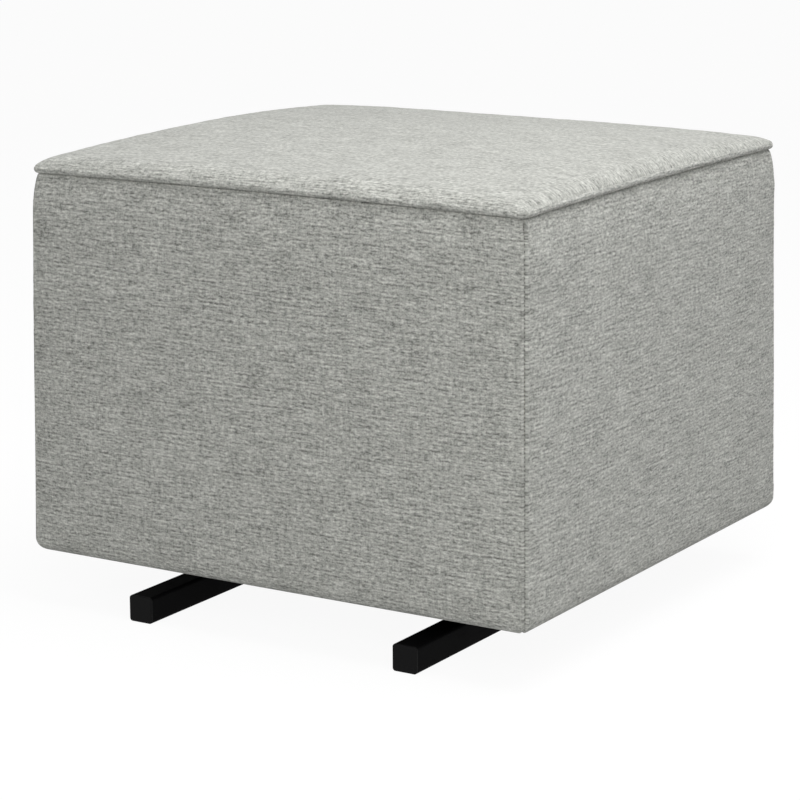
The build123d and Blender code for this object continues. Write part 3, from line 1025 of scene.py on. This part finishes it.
@dataclass
class SideCover(Cut):
    """Fabric panel of one side: drawn in under the welt, notched into the corner seams,
    rounded under and turned in below."""

    form: BodyForm
    wall: Wall
    seed: float = 0.0
    pitch: float = 0.008
    welt_lap: float = 0.0008
    seam_margin: float = 0.016
    sewn_side: float = 0.007
    sewn_top: float = 0.006
    pucker: float = 0.00075
    tuck: float = 0.0006
    drift: float = 0.0009
    # Distances from a corner seam at which the closely spaced columns lie
    beside_seam: ClassVar[tuple[float, ...]] = (0.0, 0.0005, 0.0011, 0.0019, 0.003, 0.0042, 0.0062, 0.01)

    def __post_init__(self) -> None:
        """Work out the section's stations and the columns' distances from the middle."""
        self.stations = self.form.section(self.form.seam + self.welt_lap, self.pitch)
        self.half = self.form.half_length(self.wall)
        near = [self.half - gap for gap in self.beside_seam]
        middle = spaced(self.half - self.seam_margin, self.pitch)
        self.across = [-edge for edge in near] + middle + near[::-1]
        self.up = [station.length for station in self.stations]

    def span(self, row: int) -> tuple[float, float]:
        """Half length of the row to the mitre, and to the bottom of its notch."""
        mitre = self.half - self.stations[row].inset
        return mitre, mitre - self.form.seam_notch * math.cos(self.stations[row].tilt)

    def along(self, column: int, row: int) -> float:
        """Distance of a corner from the middle of the wall.

        Args:
            column: Column of the corner.
            row: Row of the corner.

        Returns:
            The distance.
        """
        offset, seam = self.across[column], self.span(row)[1]
        gap = self.half - abs(offset)
        if gap < self.seam_margin:
            return math.copysign(seam - gap, offset)
        return offset * seam / self.half

    def point(self, column: int, row: int) -> Vector:
        """Place of a corner, with the notch at the corner seam and a slight swell.

        Args:
            column: Column of the corner.
            row: Row of the corner.

        Returns:
            The place.
        """
        form, station = self.form, self.stations[row]
        along = self.along(column, row)
        mitre, seam = self.span(row)
        start_roll = mitre - form.corner_roll
        sunk = form.seam_notch * quarter((abs(along) - start_roll) / (seam - start_roll))
        height = (station.height - form.foot) / (form.seam - form.foot)
        swell = form.swell * (1 - (along / self.half) ** 4)
        swell *= smooth(height / 0.25) * smooth((1 - height) / 0.2)
        return form.on_wall(self.wall, along, station, sunk - swell)

    def flat(self, column: int, row: int) -> tuple[float, float]:
        """Place on the cloth: along the wall, and up the section."""
        return self.along(column, row) + self.seed, self.up[row]

    def is_held(self, column: int, row: int) -> bool:
        """Held along the corner seams, under the welt, and round the lower edge."""
        station, gap = self.stations[row], self.half - abs(self.across[column])
        return (gap < self.sewn_side or not station.is_upright
                or station.height > self.form.seam - self.sewn_top)

    def cut_area(self) -> float:
        """Area of the flat cloth."""
        rows = [(length, self.span(row)[0]) for row, length in enumerate(self.up)]
        return sum((above - below) * (lower_half + upper_half)
                   for (below, lower_half), (above, upper_half) in zip(rows, rows[1:]))

    def gather(self, place: Vector) -> Vector:
        """Move a corner of the settled cloth by the small gathers beside the seams.

        Args:
            place: Its place.

        Returns:
            Its new place.
        """
        facing_x, facing_y = self.wall.value
        along = place.y * facing_x - place.x * facing_y
        outwards = place.x * facing_x + place.y * facing_y
        gap = self.half - (self.form.reach(self.wall) - outwards) - abs(along)
        beside = fade(gap - 0.003, 0.013) if gap > 0.004 else 0.0
        under = fade(self.form.seam - place.z - 0.006, 0.012)
        move = self.pucker * beside * waver((self.seed, 0, place.z), 0.013, self.seed)
        move += self.tuck * under * waver((along, self.seed, 0), 0.017, self.seed + 3)
        move += self.drift * waver((along, place.z, 0), 0.11, self.seed + 7)
        move *= smooth((place.z - self.form.foot - 0.004) / 0.02)
        return place + Vector((facing_x, facing_y, 0)) * move


@dataclass
class TopCover(Cut):
    """Crowned top panel, with full shoulders behind the welt."""

    form: BodyForm
    pitch: float = 0.0085
    depth: float = 0.0
    sewn: float = 0.0025
    pucker: float = 0.0008
    drift: float = 0.001
    # Distances from the edge of the closely spaced lines; the first one twice, for the skirt
    shoulder: ClassVar[tuple[float, ...]] = (
        0.0, 0.0, 0.0008, 0.0018, 0.0031, 0.0048, 0.007, 0.0098, 0.0135, 0.0185, 0.025)

    def __post_init__(self) -> None:
        """Space the grid closely over the shoulders and measure it along the cloth."""
        self.half_x = self.form.crown_half_x - self.depth
        self.half_y = self.form.crown_half_y - self.depth
        self.across, self.up = (self.graded(half) for half in (self.half_x, self.half_y))
        self.flat_x = self.measured([(x, self.rise(x, 0.0)) for x in self.across])
        self.flat_y = self.measured([(y, self.rise(0.0, y)) for y in self.up])

    def graded(self, half: float) -> list[float]:
        """Positions along one axis, closer together near the edges."""
        near = [half - gap for gap in self.shoulder]
        return [-edge for edge in near] + spaced(half - 0.033, self.pitch) + near[::-1]

    @staticmethod
    def measured(track: Sequence[tuple[float, float]]) -> list[float]:
        """Lengths along a track, counted from its middle."""
        lengths = [0.0, *accumulate(math.dist(*pair) for pair in zip(track, track[1:]))]
        return [length - lengths[-1] / 2 for length in lengths]

    def rise(self, x: float, y: float) -> float:
        """Height over the seam, less the depth of an inner layer."""
        grown = 1 + self.depth / self.form.crown_half_x
        return max(self.form.crown(x * grown, y * grown) - self.depth, 0.0)

    def rounded(self, x: float, y: float) -> tuple[float, float]:
        """Pull a place inwards where the top's corners are rounded in plan.

        Args:
            x: Place along the width.
            y: Place along the depth.

        Returns:
            The place pulled in.
        """
        corner = self.form.crown_corner
        past = abs(x) - (self.half_x - corner), abs(y) - (self.half_y - corner)
        if min(past) <= 0:
            return x, y
        pulled = [beyond * math.sqrt(1 - (other / corner) ** 2 / 2)
                  for beyond, other in (past, past[::-1])]
        return (math.copysign(abs(x) - past[0] + pulled[0], x),
                math.copysign(abs(y) - past[1] + pulled[1], y))

    def point(self, column: int, row: int) -> Vector:
        """Place of a corner of the top.

        Args:
            column: Column of the corner.
            row: Row of the corner.

        Returns:
            The place.
        """
        form, x, y = self.form, self.across[column], self.up[row]
        across, along = x / form.half_width, y / form.half_depth
        from_seam = min(form.crown_half_x - abs(x), form.crown_half_y - abs(y))
        lift = max(form.lift(across) * abs(along), form.lift(along) * abs(across))
        is_skirt = column in (0, len(self.across) - 1) or row in (0, len(self.up) - 1)
        rise = form.crown_edge / 2 if is_skirt else self.rise(x, y)
        return Vector((*self.rounded(x, y), form.seam + lift * fade(from_seam, 0.007) + rise))

    def flat(self, column: int, row: int) -> tuple[float, float]:
        """Place on the cloth."""
        return self.flat_x[column] + 1.3, self.flat_y[row] + 2.1

    def is_held(self, column: int, row: int) -> bool:
        """Held at the seam."""
        return min(self.half_x - abs(self.across[column]), self.half_y - abs(self.up[row])) < self.sewn

    def gather(self, place: Vector) -> Vector:
        """Move a corner of the settled cloth by soft puckers that run in from the seam.

        Args:
            place: Its place.

        Returns:
            Its new place.
        """
        gaps = self.form.crown_half_x - abs(place.x), self.form.crown_half_y - abs(place.y)
        near_x, near_y = (fade(gap - 0.004, 0.016) * smooth(gap / 0.003) for gap in gaps)
        move = self.pucker * near_y * waver((place.x, math.copysign(0.5, place.y), 0), 0.015, 11)
        move += self.pucker * near_x * waver((math.copysign(0.5, place.x), place.y, 0), 0.015, 17)
        move += self.drift * waver((place.x, place.y, 0), 0.12, 23) * smooth(min(gaps) / 0.03)
        return place + UP * move


def rounded_loop(half_x: float, half_y: float, corner: float, pitch: float) -> list[Vector]:
    """Walk round a rectangle with rounded corners, starting at the right of its front.

    Args:
        half_x: Half its width.
        half_y: Half its depth.
        corner: Radius of its corners.
        pitch: Distance between points on the straights.

    Returns:
        Points in the plane z = 0, once round.
    """
    arc = max(5, round(corner * math.pi / 2 / (pitch * 0.5)))
    arcs = []
    for index, (side_x, side_y) in enumerate(((1, -1), (1, 1), (-1, 1), (-1, -1))):
        centre = Vector((side_x * (half_x - corner), side_y * (half_y - corner), 0.0))
        angles = [math.pi / 2 * (index - 1 + step / arc) for step in range(arc + 1)]
        arcs.append([centre + Vector((math.cos(angle), math.sin(angle), 0.0)) * corner
                     for angle in angles])
    points: list[Vector] = []
    for turn, following in zip(arcs, arcs[1:] + arcs[:1]):
        count = max(2, round((following[0] - turn[-1]).length / pitch))
        points += turn + [turn[-1].lerp(following[0], step / count) for step in range(1, count)]
    return points


@dataclass
class Welt(Cut):
    """Fabric-covered cord sewn into the top seam, all the way round."""

    form: BodyForm
    sides: int = 16
    pitch: float = 0.0045
    corner: float = 0.0055
    drift: float = 0.00035
    straight: float = 0.96
    # Share of the radius, pitch and seed of each unevenness along the cord
    uneven: ClassVar[tuple[Triple, ...]] = ((0.035, 0.011, 5.0), (0.03, 0.03, 9.0))

    def __post_init__(self) -> None:
        """Walk the seam and measure it."""
        low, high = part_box("welt_cord")
        self.radius = (high.z - low.z) / 2
        self.level = low.z + self.radius
        self.half_x, self.half_y = high.x - self.radius, high.y - self.radius
        self.track = rounded_loop(self.half_x, self.half_y, self.corner, self.pitch)
        steps = zip(self.track, self.track[1:] + self.track[:1])
        self.across = [0.0, *accumulate((ahead - here).length for here, ahead in steps)]
        self.up = [2 * math.pi * side / self.sides for side in range(self.sides + 1)]

    def point(self, column: int, row: int) -> Vector:
        """Place round the slightly uneven cord.

        Args:
            column: Step round the seam.
            row: Step round the cord.

        Returns:
            The place.
        """
        form, ring, count = self.form, column % len(self.track), len(self.track)
        here = self.track[ring]
        ahead = (self.track[(ring + 1) % count] - self.track[ring - 1]).normalized()
        outwards = Vector((ahead.y, -ahead.x, 0.0))
        uneven = 1 + sum(share * waver(here, pitch, seed) for share, pitch, seed in self.uneven)
        on_long, on_short = (abs(here.y) > self.half_y * self.straight,
                             abs(here.x) > self.half_x * self.straight)
        lift = max(form.lift(here.x / form.half_width) * on_long,
                   form.lift(here.y / form.half_depth) * on_short)
        centre = here + outwards * self.drift * waver(here, 0.045, 13) + UP * (self.level + lift)
        return centre + self.radius * uneven * (
            outwards * math.sin(self.up[row]) + UP * math.cos(self.up[row]))

    def flat(self, column: int, row: int) -> tuple[float, float]:
        """Place on the cord's strip of cloth."""
        return self.across[column] + 4.0, self.radius * self.up[row] + 3.0


# ------------------------------------------------------------------ sub-assemblies


@dataclass
class Covers:
    """The fabric covers: four sides, the crowned top, the welt and the corner stitching."""

    form: BodyForm
    cloth: float = 0.0015
    settle_side: float = 0.0016
    settle_top: float = 0.0022
    stitch_pitch: float = 0.0038
    stitch_length: float = 0.00182
    stitch_radius: float = 0.0004
    stitch_sink: float = 0.85
    stitch_end: float = 0.006

    def build(self) -> None:
        """Build, settle and finish every cover."""
        sides = [SideCover(f"side_cover_{wall.label}", self.form, wall, 0.7 * (index + 1))
                 for index, wall in enumerate(Wall)]
        top = TopCover("top_cushion_cover", self.form)
        laid = [(cut, *cut.lay()) for cut in (*sides, top)]
        settle([Settling(panel, held, self.settle_top if cut is top else self.settle_side)
                for cut, panel, held in laid])
        for cut, panel, _ in laid:
            finish_with(panel, "SUBSURF", levels=1, render_levels=1)
            reshape(panel, cut.gather)
            thicken(panel, self.cloth)
            round_over(panel, 60.0)
        for cut, panel, _ in laid[:-1]:
            width, side = 2 * (cut.half + self.form.flare), cut.wall.label
            cut.cut_area()
            hand_over(panel, HEATHER, "grey_fabric", f"cover_{side}")
        panel = laid[-1][1]
        hand_over(panel, TOP_HEATHER_SHADED, "grey_fabric", "cover_top")
        welt, _ = Welt("top_welt", self.form).lay()
        face_outwards(welt)
        round_over(welt, 180.0)
        hand_over(welt, HEATHER, "grey_fabric", "welt_cord")
        # The stitches' dark thread also paints the shade along the corner seams
        hand_over(self.stitching(), THREAD_SEAM_SHADE, "grey_fabric")

    def stitching(self) -> Piece:
        """Model one stitch and repeat it down the four corner seams.

        Returns:
            The stitches, as one piece.
        """
        stitch = start("corner_stitches", bpy.ops.mesh.primitive_cylinder_add, vertices=6,
                       radius=self.stitch_radius, depth=self.stitch_length, end_fill_type="NGON")
        ease_edges(stitch, self.stitch_radius * 0.6)
        sunk = self.form.seam_notch * self.stitch_sink
        spots = [(self.form.half_width - station.inset - sunk,
                  self.form.half_depth - station.inset - sunk, station.height)
                 for station in self.form.section(self.form.seam, self.stitch_pitch)
                 if station.is_upright and station.height < self.form.seam - self.stitch_end]
        stitches = repeat_at(stitch, [Matrix.Translation((side_x * x, side_y * y, z))
                                      for side_x in (-1, 1) for side_y in (-1, 1)
                                      for x, y, z in spots])
        round_over(stitches)
        return stitches


@dataclass
class SidePad(Cut):
    """Thin foam pad between a side cover and its board."""

    form: BodyForm
    wall: Wall
    pitch: float = 0.02
    under: float = 0.0019
    top_gap: float = 0.004
    end_gap: float = 0.0015

    def __post_init__(self) -> None:
        """Keep the stations of the wall between the lower edge and the seam."""
        low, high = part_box(f"padding_{self.wall.label}")
        self.half = self.form.half_length(self.wall)
        self.stations = [station for station in self.form.section(self.form.seam, self.pitch)
                         if low.z - 1e-6 <= station.height < high.z - self.top_gap
                         and station.is_upright]
        self.across = spaced(self.half, self.pitch)
        self.up = [station.length for station in self.stations]

    def point(self, column: int, row: int) -> Vector:
        """Place of a corner, just under the cover.

        Args:
            column: Column of the corner.
            row: Row of the corner.

        Returns:
            The place.
        """
        station = self.stations[row]
        reach = self.half - station.inset - self.under - self.end_gap
        along = self.across[column] / self.half * reach
        return self.form.on_wall(self.wall, along, station, self.under)


@dataclass
class Filling:
    """What lies under the covers: side pads, the foam block and the wadding over it."""

    form: BodyForm
    pad_thickness: float = 0.0054
    foam_edge: float = 0.006
    foam_drop: float = 0.004
    foam_gap: float = 0.0006
    crown_margin: float = 0.012
    crown_ease: float = 0.02
    wadding_gap: float = 0.0021
    wadding_thickness: float = 0.0068
    wadding_sink: float = 0.0005
    wadding_loose: float = 0.0004

    def build(self) -> None:
        """Build the filling."""
        for wall in Wall:
            pad, _ = SidePad(f"side_pad_{wall.label}", self.form, wall).lay()
            thicken(pad, self.pad_thickness)
            ease_edges(pad, 0.0008, 2)
            round_over(pad, 50.0)
            hand_over(pad, FOAM, "foam", f"padding_{wall.label}")
        block = self.foam_block()
        hand_over(block, FOAM, "foam", "seat_foam")
        layer, _ = TopCover("wadding_layer", self.form, pitch=0.014, depth=self.wadding_gap).lay()
        reshape(layer, lambda place: place + UP * (
            self.wadding_loose * waver(place, 0.02, 31) - self.wadding_sink))
        thicken(layer, self.wadding_thickness)
        round_over(layer, 60.0)
        hand_over(layer, WADDING, "wadding", "top_wadding")

    def foam_block(self) -> Piece:
        """Cut a foam block with eased edges and raise its top to the crown.

        Returns:
            The block.
        """
        form = self.form
        low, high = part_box("seat_foam")
        high.z = form.seam - self.foam_drop
        block = start_block("foam_core", low, high)
        ease_edges(block, self.foam_edge, 3)
        with editing(block):
            bpy.ops.mesh.subdivide(number_cuts=20)
        under = self.wadding_gap + self.wadding_thickness + self.foam_gap
        reach_x, reach_y = (half - self.crown_margin for half in (form.crown_half_x, form.crown_half_y))

        def crowned(place: Vector) -> Vector:
            """Raise the upper face to just under the wadding.

            Args:
                place: Place of a corner.

            Returns:
                Its new place.
            """
            if place.z < high.z - 0.0005:
                return place
            x = min(max(place.x, -reach_x), reach_x)
            y = min(max(place.y, -reach_y), reach_y)
            rise = max(form.crown(x, y) - under + self.foam_drop, 0.0)
            ease = smooth((form.crown_half_x - abs(place.x)) / self.crown_ease)
            ease *= smooth((form.crown_half_y - abs(place.y)) / self.crown_ease)
            return place + UP * rise * ease

        reshape(block, crowned)
        round_over(block, 50.0)
        return block


@dataclass
class DustSheet(Cut):
    """Black cloth under the body, in three strips with a gap over each runner."""

    gap_x: float
    gap_half: float
    half_x: float
    half_y: float
    level: float
    pitch: float = 0.009
    sag: float = 0.0012
    edge_hold: float = 0.03
    gap_hold: float = 0.04
    # Size, pitch and seed of the creases
    creases: ClassVar[tuple[Triple, ...]] = ((0.0005, 0.03, 41.0), (0.0008, 0.09, 43.0))

    def __post_init__(self) -> None:
        """Line the grid up with the strips' edges."""
        inner, outer = self.gap_x - self.gap_half, self.gap_x + self.gap_half
        right = [inner, outer, *self.between(outer, self.half_x), self.half_x]
        self.across = [-x for x in reversed(right)] + self.between(-inner, inner) + right
        self.up = [-self.half_y, *self.between(-self.half_y, self.half_y), self.half_y]

    def between(self, first: float, last: float) -> list[float]:
        """Even positions between two edges, without the edges."""
        count = max(1, round((last - first) / self.pitch))
        return [first + (last - first) * step / count for step in range(1, count)]

    def point(self, column: int, row: int) -> Vector:
        """Place of a corner, sagging a little between the staples and the strips' edges.

        Args:
            column: Column of the corner.
            row: Row of the corner.

        Returns:
            The place.
        """
        x, y = self.across[column], self.up[row]
        from_gap = abs(abs(x) - self.gap_x) - self.gap_half
        free = smooth(min(self.half_x - abs(x), self.half_y - abs(y)) / self.edge_hold)
        free *= smooth(from_gap / self.gap_hold)
        crease = sum(size * waver((x, y, 0), pitch, seed) for size, pitch, seed in self.creases)
        return Vector((x, y, self.level - free * (self.sag + crease)))

    def part_strips(self, sheet: Piece) -> None:
        """Delete the faces in the gaps.

        Args:
            sheet: The sheet.
        """
        with editing(sheet, "DESELECT"):
            bpy.ops.mesh.select_mode(type="FACE")
        for face in sheet.data.polygons:
            face.select = abs(abs(face.center.x) - self.gap_x) < self.gap_half
        with editing(sheet, None):
            bpy.ops.mesh.delete(type="FACE")


@dataclass
class Underside:
    """What closes the body below: the dust cloth's strips, their bindings and the staples."""

    form: BodyForm
    thickness: float = 0.0006
    slack: float = 0.005
    binding_width: float = 0.009
    binding_thickness: float = 0.0009
    staple_span: float = 0.0105
    staple_wire: float = 0.0009
    staple_pitch: float = 0.038
    staple_inset: float = 0.0065
    staple_leg: float = 0.0005
    staple_skew: float = 0.12
    corner_margin: float = 0.02
    gap_margin: float = 0.007

    def build(self) -> None:
        """Build the underside."""
        low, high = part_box("dust_cover")
        runner_low, runner_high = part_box("runner_right")
        post_low, post_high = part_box("post_rear_right")
        gap_x = (runner_low.x + runner_high.x) / 2
        gap_half = (post_high.x - post_low.x) / 2 + self.slack
        plan = DustSheet("dust_cloth", gap_x, gap_half, high.x, high.y, (low.z + high.z) / 2)
        cloth, _ = plan.lay()
        plan.part_strips(cloth)
        thicken(cloth, self.thickness, 0.0)
        round_over(cloth, 60.0)
        bindings, staples = self.bindings(plan, low.z), self.staples(plan, low.z)
        hand_over(cloth, CAMBRIC, "black_cloth", "dust_cover")
        hand_over(bindings, CAMBRIC, "black_cloth")
        hand_over(staples, ZINC, "zinc_plate")

    def bindings(self, plan: DustSheet, level: float) -> Piece:
        """Bind the edges beside the gaps with folded tape.

        Args:
            plan: The dust cloth's plan.
            level: Its underside.

        Returns:
            The four bindings, as one piece.
        """
        tape = start("strip_bindings", bpy.ops.mesh.primitive_grid_add, size=1.0, x_subdivisions=3,
                     y_subdivisions=48)
        reshape(tape, lambda place: Vector((
            place.x * self.binding_width + 0.0002 * waver(place * plan.half_y, 0.012, 61),
            place.y * 2 * plan.half_y, 0.0002 * waver(place * plan.half_y, 0.02, 67))))
        thicken(tape, self.binding_thickness, 0.0)
        ease_edges(tape, 0.0003, 2)
        drop = level - self.binding_thickness * 0.4
        beside = plan.gap_half + self.binding_width / 2
        tape = repeat_at(tape, [Matrix.Translation((side * plan.gap_x + edge * beside, 0, drop))
                                for side in (-1, 1) for edge in (-1, 1)])
        face_outwards(tape)
        round_over(tape)
        return tape

    def staples(self, plan: DustSheet, level: float) -> Piece:
        """Model one staple and repeat it round the cloth's edge, but for the gaps.

        Args:
            plan: The dust cloth's plan.
            level: Its underside.

        Returns:
            The staples, as one piece.
        """
        half = Vector((self.staple_span, self.staple_wire * 1.3, self.staple_wire)) / 2
        staple = start_block("dust_cloth_staples", -half, half)
        with editing(staple):
            bpy.ops.mesh.subdivide(number_cuts=2)
        reshape(staple, lambda place: place + UP * self.staple_leg * smooth(
            (abs(place.x) - self.staple_span * 0.3) / (self.staple_span * 0.2)))
        ease_edges(staple, self.staple_wire * 0.25)
        places = []
        for half_long, half_short, turned in ((plan.half_x, plan.half_y, False),
                                              (plan.half_y, plan.half_x, True)):
            for along in spaced(half_long - self.corner_margin, self.staple_pitch):
                if not turned and abs(abs(along) - plan.gap_x) < plan.gap_half + self.gap_margin:
                    continue
                for side in (-1, 1):
                    across = side * (half_short - self.staple_inset)
                    skew = self.staple_skew * waver((along, across, 0), 0.01, 51)
                    spot = (across, along, level) if turned else (along, across, level)
                    turn = skew + (math.pi / 2 if turned else 0.0)
                    places.append(Matrix.Translation(spot) @ Matrix.Rotation(turn, 4, "Z"))
        staples = repeat_at(staple, places)
        round_over(staples)
        return staples


@dataclass
class SteelBase:
    """The standing base: runners, uprights, ties and the beads that weld them."""

    bead_radius: float = 0.0017
    bead_corner: float = 0.003
    ripple_pitch: float = 0.0024
    ripple: float = 0.22

    def build(self) -> None:
        """Dress the tubes and plugs, and add the weld beads."""
        dress_nodes(POWDER, "runner_left", "runner_right", *(f"post_{corner}" for corner in CORNERS),
                    "cross_tube_front", "cross_tube_rear", "tie_bar_left", "tie_bar_right",
                    "top_cross_tube")
        dress_nodes(PLUG, "runner_end_caps", "post_caps")
        dress_nodes(ZINC, "upper_pivot_bolts", "upper_pivot_nuts", "pivot_spacers")
        hand_over(self.weld_beads(), POWDER, "powder_coat", body="base_frame")

    def bead(self, half: float) -> Piece:
        """Model one rippled bead round the end of a square tube that stands along Z.

        Args:
            half: Half the tube's width.

        Returns:
            The bead, at the origin.
        """
        bead = start("weld_beads", bpy.ops.mesh.primitive_torus_add, major_segments=72,
                     minor_segments=8, major_radius=half, minor_radius=self.bead_radius)
        loop = rounded_loop(half, half, self.bead_corner, 0.0008)

        def squared(place: Vector) -> Vector:
            """Lay the ring along the tube's rounded square, and ripple it.

            Args:
                place: Place of a corner.

            Returns:
                Its new place.
            """
            out = math.hypot(place.x, place.y) - half
            share = (math.atan2(place.y, place.x) + math.pi / 2) / (2 * math.pi) % 1.0
            spot = loop[round(share * len(loop)) % len(loop)]
            ripple = 1 + self.ripple * math.sin(2 * math.pi * share * 8 * half / self.ripple_pitch)
            return spot + (spot.normalized() * out + UP * place.z) * ripple

        reshape(bead, squared)
        return bead

    def weld_beads(self) -> Piece:
        """Repeat the bead at every welded joint.

        Returns:
            The beads, as one piece.
        """
        posts = [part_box(f"post_{corner}") for corner in CORNERS]
        places = [Matrix.Translation(((low.x + high.x) / 2, (low.y + high.y) / 2, low.z))
                  for low, high in posts]
        half = (posts[0][1].x - posts[0][0].x) / 2
        for tubes, run, turn in (
            (("cross_tube_front", "cross_tube_rear", "top_cross_tube"), 0, "Y"),
            (("tie_bar_left", "tie_bar_right"), 1, "X"),
        ):
            for low, high in map(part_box, tubes):
                for end in (low[run], high[run]):
                    place = (low + high) / 2
                    place[run] = end
                    places.append(Matrix.Translation(place) @ Matrix.Rotation(math.pi / 2, 4, turn))
        beads = repeat_at(self.bead(half), places)
        round_over(beads, 60.0)
        return beads


@dataclass
class Linkage:
    """The four hanging links, the carriers and the hardware that they turn on."""

    def build(self) -> None:
        """Dress every part of the linkage."""
        dress_nodes(LINK_COAT, *(f"link_{corner}" for corner in CORNERS), "carrier_left",
                    "carrier_right")
        dress_nodes(NYLON, *(f"bushes_{corner}" for corner in CORNERS))
        dress_nodes(ZINC, "lower_pivot_bolts", "lower_pivot_nuts", "carrier_screws")
        dress_nodes(RUBBER, "stop_bumpers")


@dataclass
class WoodenBox:
    """The box inside the upholstery."""

    def build(self) -> None:
        """Dress each rail with its grain along its length."""
        for wall in Wall:
            run = PatternMap.WIDTH if wall.is_wide else PatternMap.DEPTH
            dress_nodes(Wooden("rail_timber", run), f"bottom_rail_{wall.label}",
                        f"top_rail_{wall.label}")
        dress_nodes(Wooden("rail_timber", PatternMap.HEIGHT),
                    *(f"corner_block_{corner}" for corner in CORNERS))
        dress_nodes(PLYWOOD, "deck_board")
        dress_nodes(HARDBOARD, *(f"side_board_{wall.label}" for wall in Wall))


# ------------------------------------------------------------------ studio


@dataclass
class Studio:
    """Pale floor, soft light and the camera."""

    eye: Triple = (1.4246, -2.3177, 0.8028)
    azimuth: float = 31.842
    elevation: float = 12.921
    roll: float = -0.2275
    lens: float = 131.6
    floor_albedo: float = 0.55
    floor_white: float = 1.1
    floor_share: float = 0.85
    sky: float = 0.35
    aim: Triple = (0.0, 0.0, 0.3)

    def build(self) -> None:
        """Set up the floor, the world, the lamps and the camera."""
        self.floor()
        self.world()
        self.lamp("overhead_softbox", (0.47, -0.08, 1.75), 1.2, 19.5)
        self.lamp("front_softbox", (1.7, -2.55, 1.6), 1.4, 36.0)
        self.camera()

    @staticmethod
    def hang(data: bpy.types.ID, place: Triple, turn: Matrix) -> Piece:
        """Put a camera or a lamp in the scene.

        Args:
            data: The camera or lamp.
            place: Where it goes.
            turn: Its turned axes.

        Returns:
            Its object.
        """
        piece = bpy.data.objects.new(data.name, data)
        piece.matrix_world = Matrix.Translation(place) @ turn.to_4x4()
        bpy.context.collection.objects.link(piece)
        return piece

    def camera(self) -> None:
        """Stand the camera where the photograph was taken from."""
        azimuth, elevation, roll = map(math.radians, (self.azimuth, self.elevation, self.roll))
        back = Vector((math.sin(azimuth) * math.cos(elevation),
                       -math.cos(azimuth) * math.cos(elevation), math.sin(elevation)))
        right = (-back).cross(UP).normalized()
        up = back.cross(right)
        data = bpy.data.cameras.new("photograph_camera")
        data.lens = self.lens
        data.clip_end = 60.0
        axes = (right * math.cos(roll) + up * math.sin(roll),
                up * math.cos(roll) - right * math.sin(roll), back)
        bpy.context.scene.camera = self.hang(data, self.eye, Matrix(axes).transposed())

    def lamp(self, name: str, place: Triple, size: float, power: float) -> None:
        """Hang a square softbox that points at the ottoman.

        Args:
            name: Its name.
            place: Where it hangs.
            size: Length of its side.
            power: Its power, in watts.
        """
        data = bpy.data.lights.new(name, "AREA")
        data.shape = "SQUARE"
        data.size = size
        data.energy = power
        aim = Vector(self.aim) - Vector(place)
        self.hang(data, place, aim.to_track_quat("-Z", "Y").to_matrix())

    def floor(self) -> None:
        """Lay a wide pale floor that shows white to the camera but keeps the shadow."""
        floor = start("studio_floor", bpy.ops.mesh.primitive_grid_add, size=60.0, x_subdivisions=2,
                      y_subdivisions=2)
        material = bpy.data.materials.new("studio_floor")
        bench = Bench.cleared(material)
        paper = bench.add("BsdfDiffuse", (self.floor_albedo,) * 3)
        seen = bench.add("Emission", None, self.floor_white)
        share = bench.maths("MULTIPLY", bench.seen_directly(), self.floor_share)
        blend = bench.add("MixShader", share, paper.outputs[0], seen.outputs[0])
        bench.add("OutputMaterial", blend.outputs[0])
        floor.data.materials.append(material)

    def world(self) -> None:
        """Light everything evenly, and show white where the camera sees past the floor."""
        world = bpy.context.scene.world = bpy.data.worlds.new("studio_world")
        bench = Bench.cleared(world)
        light, white = (bench.add("Background", (1.0, 1.0, 1.0), strength).outputs[0]
                        for strength in (self.sky, 1.0))
        blend = bench.add("MixShader", bench.seen_directly(), light, white)
        bench.add("OutputWorld", blend.outputs[0])


def main() -> None:
    """Build every sub-assembly in order; each piece is reported as it is built."""
    logging.basicConfig(level=logging.INFO, format="%(name)s: %(message)s")
    bpy.context.scene.view_settings.view_transform = "Standard"
    form = BodyForm.measured()
    for assembly in (Studio(), SteelBase(), Linkage(), WoodenBox(), Filling(form), Underside(form),
                     Covers(form)):
        assembly.build()


if __name__ == "__main__":
    main()
